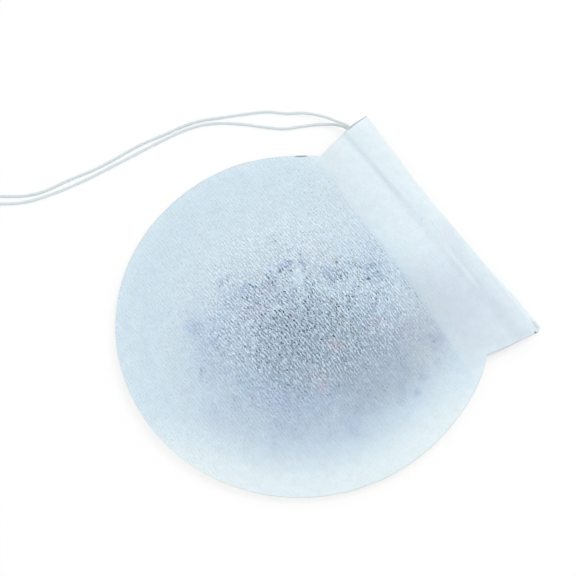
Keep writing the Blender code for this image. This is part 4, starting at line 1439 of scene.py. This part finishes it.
class TEABAG_OT_tea(bpy.types.Operator):
    """Make the heap of dried leaves, petals and crumbs"""

    bl_idname = "teabag.tea"
    bl_label = "Make Tea"

    def execute(self, context):
        settings = context.scene.teabag_tea
        paper = context.scene.teabag_paper
        self.make_heap(settings, paper)
        self.make_leaves(settings, paper)
        self.make_petals(settings, paper)
        return {"FINISHED"}

    def make_heap(self, settings, paper):
        """Crumb heap: a ball's grid whose plan is the heap's oval, wavy by two sines of the turn,
        and whose two halves follow the top and the bottom level, lumpy by ripples."""
        turn = np.linspace(0.0, math.tau, HEAP_COLUMNS, endpoint=False)[None, :]
        drop = np.linspace(0.0, math.pi, HEAP_ROWS)[:, None]
        out = np.sin(drop) * (1.0 + 0.05 * np.sin(5 * turn + 1.0) + 0.04 * np.sin(9 * turn))
        across = HEAP_SIDE * out * np.cos(turn)
        along = np.where(np.sin(turn) > 0, HEAP_UP, HEAP_DOWN) * out * np.sin(turn)
        x = HEAP_CENTRE[0] + across * math.cos(HEAP_LEAN) + along * math.sin(HEAP_LEAN)
        y = HEAP_CENTRE[1] - across * math.sin(HEAP_LEAN) + along * math.cos(HEAP_LEAN)
        lumps = sum(rise * ripple(x, y, length, seed) for rise, length, seed in HEAP_LUMPS)
        top = heap_top(x, y, paper) - 0.0004 + lumps
        low = bottom(x, y, paper) + 0.0002
        top = np.minimum(np.maximum(top, low + 0.0003), ceiling(x, y, paper) - 0.0001)
        reach = (top - low) / 2 * np.sqrt(np.clip(1.0 - np.sin(drop) ** 8, 0.0, 1.0))
        z = (top + low) / 2 + np.sign(np.cos(drop) + 1e-9) * reach
        points = np.stack([x, y + DISC_CENTRE_Y, z], axis=-1).reshape(-1, 3)
        faces = grid_faces(HEAP_ROWS, HEAP_COLUMNS, closed_columns=True)[:, :, ::-1].reshape(-1, 4)
        heap = add_mesh("tea_heap", points, faces, dust_finish("tea_crumbs", settings))
        merge_doubles(heap)
        finish_piece(heap, "dried_tea", "tea_filling")

    def spread(self, draw, count):
        """Places of loose leaves: random spots, of which each is kept by chance.

        The chance is the number of layers that leaves the right part of the paper bare, the
        logarithm of that part over its logarithm at the densest place, and less between clumps.
        """
        tries = TRIES_PER_LEAF * count
        x = TEA_CENTRE[0] + draw.uniform(-1.1 * TEA_LEFT, 1.1 * TEA_RIGHT, tries)
        y = TEA_CENTRE[1] + draw.uniform(-TEA_DOWN, TEA_UP, tries)
        clump = 0.4 + 0.6 * ease(-0.6, 0.9, ripple(x, y, CLUMP_LENGTH, CLUMP_SEED))
        inside = (np.hypot(x, y) < FREE_RADIUS - EDGE_ROOM) & (y < crease_y(x) - EDGE_ROOM)
        cover = DENSEST_COVER * tea_share(x, y) ** COVER_POWER
        layers = np.log(1.0 - cover) / math.log(1.0 - DENSEST_COVER)
        keep = (draw.uniform(0.0, 1.0, tries) < layers * clump) & inside
        chosen = np.flatnonzero(keep)[:count]
        return x[chosen], y[chosen]

    def make_leaves(self, settings, paper):
        """Small leaf pieces near the front sheet or on the back one, in four colours."""
        draw = np.random.default_rng(settings.seed)
        place_x, place_y = self.spread(draw, settings.leaves)
        count = len(place_x)
        length = settings.leaf_length * np.exp(draw.normal(0.0, 0.42, count))
        width = length * draw.uniform(0.25, 0.75, count)
        heading = draw.uniform(0.0, math.tau, count)
        tilt = draw.normal(0.0, 0.35, count)
        top = heap_top(place_x, place_y, paper)
        low = bottom(place_x, place_y, paper)
        upper = draw.uniform(0.0, 1.0, count) < UPPER_LEAVES
        depth = draw.uniform(0.0, LEAF_DEPTH, count)
        place_z = np.where(upper, np.maximum(top - depth, low + LEAF_LIFT), low + LEAF_LIFT + depth)
        palette = np.array([tuple(settings.leaf_green), tuple(settings.leaf_brown),
                            tuple(settings.petal_pink), tuple(settings.petal_violet)])
        kind = draw.choice(4, count, p=LEAF_KINDS)
        tint = palette[kind] * draw.uniform(0.6, 1.5, count)[:, None]
        shape = curled_pieces(draw, length, width, 7, 6, 1.0)
        lay_pieces("tea_leaves", shape, (place_x, place_y, place_z), (heading, tilt), tint, paper,
                   leaf_finish("dried_leaves"))

    def make_petals(self, settings, paper):
        """Large petals that lie just under the front sheet."""
        draw = np.random.default_rng(settings.seed + 1)
        x, y, length, width, heading = (np.array(column) for column in list(zip(*PETALS))[:5])
        x, y = x / 1000, y / 1000
        tint = np.array([petal[5] for petal in PETALS])
        shape = curled_pieces(draw, length / 1000, width / 1000, 15, 12, 0.25)
        flat = np.zeros_like(x)
        lay_pieces("tea_petals", shape, (x, y, ceiling(x, y, paper) - PETAL_DEPTH),
                   (np.radians(heading), flat), tint, paper, leaf_finish("dried_petals"))


# stage
def camera_axes():
    """Right, up and back of the camera: back from azimuth and elevation, then a roll about it."""
    a, e, r = CAMERA_AZIMUTH, CAMERA_ELEVATION, CAMERA_ROLL
    back = np.array([math.sin(a) * math.cos(e), -math.cos(a) * math.cos(e), math.sin(e)])
    level = np.array([math.cos(a), math.sin(a), 0.0])
    upright = np.cross(back, level)
    right = math.cos(r) * level - math.sin(r) * upright
    up = math.sin(r) * level + math.cos(r) * upright
    return right, up, back


def look_from(item, right, up, back, place):
    """Give an object the axes right, up and back, at a place."""
    turned = Matrix(np.stack([right, up, back], axis=1).tolist())
    item.rotation_euler = turned.to_euler()
    item.location = place


class TEABAG_OT_stage(bpy.types.Operator):
    """Make the camera, the floor, the soft lamp and the even light"""

    bl_idname = "teabag.stage"
    bl_label = "Make Stage"

    def execute(self, context):
        scene = context.scene
        settings = scene.teabag_stage
        scene.view_settings.view_transform = "Standard"
        scene.cycles.max_bounces = 16
        scene.cycles.diffuse_bounces = 8
        scene.cycles.transmission_bounces = 12
        scene.cycles.transparent_max_bounces = 14
        right, up, back = camera_axes()
        lens = bpy.data.cameras.new("camera")
        lens.sensor_width = SENSOR_MM
        lens.lens = SENSOR_MM * CAMERA_DISTANCE / PICTURE_WIDTH
        lens.clip_start = 0.01
        camera = bpy.data.objects.new("camera", lens)
        scene.collection.objects.link(camera)
        look_from(camera, right, up, back, np.array(CAMERA_TARGET) + CAMERA_DISTANCE * back)
        scene.camera = camera

        points = FLOOR_HALF * np.array([(-1.0, -1.0, 0.0), (1.0, -1.0, 0.0), (1.0, 1.0, 0.0),
                                        (-1.0, 1.0, 0.0)])
        floor = add_mesh("floor", points, np.array([[0, 1, 2, 3]]), self.floor_finish(settings))

        lamp_light = bpy.data.lights.new("soft_lamp", "AREA")
        lamp_light.shape = "DISK"
        lamp_light.size = LAMP_SIZE
        lamp_light.energy = settings.lamp
        lamp = bpy.data.objects.new("soft_lamp", lamp_light)
        scene.collection.objects.link(lamp)
        flat_up = np.array([up[0], up[1], 0.0]) / np.hypot(up[0], up[1])
        flat_right = np.array([right[0], right[1], 0.0]) / np.hypot(right[0], right[1])
        to_top, to_right, upwards = LAMP_TOWARDS
        towards = to_top * flat_up + to_right * flat_right + np.array([0.0, 0.0, upwards])
        towards /= np.linalg.norm(towards)
        lamp_right = np.cross(flat_up, towards)
        lamp_right /= np.linalg.norm(lamp_right)
        look_from(lamp, lamp_right, np.cross(towards, lamp_right), towards,
                  np.array(CAMERA_TARGET) + LAMP_DISTANCE * towards)
        self.make_sky(scene, settings)
        return {"FINISHED"}

    def floor_finish(self, settings):
        """White floor: a photographer's lit table, most of whose light to the camera comes from
        below it, so that only soft shadows show, and whose own colour is what the bag gets back."""
        made = Finish("floor")
        seen, mirrored, passed, scattered = made.outputs(
            made.add("ShaderNodeLightPath", {}),
            "Is Camera Ray", "Is Glossy Ray", "Is Transmission Ray", "Is Diffuse Ray")
        shown = seen.most(mirrored).most(passed * (1.0 - scattered))
        plain = made.node("ShaderNodeBsdfDiffuse", {}, {"Color": (*settings.floor, 1.0)})
        lit = settings.table_light
        rest = (1.0 - lit,) * 3
        shaded = made.node("ShaderNodeBsdfDiffuse", {}, {"Color": (*rest, 1.0)})
        table = made.node("ShaderNodeEmission", {}, {"Color": WHITE, "Strength": lit})
        return made.show(made.mix_shaders(shown, plain, made.add_shaders(shaded, table)))

    def make_sky(self, scene, settings):
        """Even light: white to the camera and dimmer as light."""
        made = Finish("sky", sky=True)
        seen, = made.outputs(made.add("ShaderNodeLightPath", {}), "Is Camera Ray")
        light = made.node("ShaderNodeBackground", {}, {"Color": WHITE, "Strength": settings.sky})
        shown = made.node("ShaderNodeBackground", {}, {"Color": WHITE, "Strength": 1.0})
        scene.world = made.show(made.mix_shaders(seen, light, shown), "ShaderNodeOutputWorld")


class TEABAG_PT_panel(bpy.types.Panel):
    """Buttons and settings of the tea bag"""

    bl_label = "Tea Bag"
    bl_idname = "TEABAG_PT_panel"
    bl_space_type = "VIEW_3D"
    bl_region_type = "UI"
    bl_category = "Tea Bag"

    def draw(self, context):
        layout = self.layout
        for operator in OPERATORS:
            layout.operator(operator.bl_idname)
        for key, (group, label) in SETTINGS.items():
            layout.label(text=label)
            values = getattr(context.scene, key)
            for name in group.__annotations__:
                layout.prop(values, name)


SETTINGS = {
    "teabag_stage": (StageSettings, "Stage"),
    "teabag_string": (StringSettings, "String"),
    "teabag_tea": (TeaSettings, "Tea"),
    "teabag_paper": (PaperSettings, "Paper"),
}
OPERATORS = (TEABAG_OT_stage, TEABAG_OT_knot, TEABAG_OT_string, TEABAG_OT_tea, TEABAG_OT_paper)
CLASSES = (PaperSettings, TeaSettings, StringSettings, StageSettings, *OPERATORS, TEABAG_PT_panel)


def register():
    """Register the classes and hang the settings on the scene."""
    for made in CLASSES:
        bpy.utils.register_class(made)
    for key, (group, _) in SETTINGS.items():
        setattr(bpy.types.Scene, key, PointerProperty(type=group))


def unregister():
    """Take the settings and classes away again."""
    for key in SETTINGS:
        delattr(bpy.types.Scene, key)
    for made in reversed(CLASSES):
        bpy.utils.unregister_class(made)


def main():
    """Build every piece."""
    register()
    bpy.ops.teabag.stage()
    bpy.ops.teabag.knot()
    bpy.ops.teabag.string()
    bpy.ops.teabag.tea()
    bpy.ops.teabag.paper()


if __name__ == "__main__":
    main()
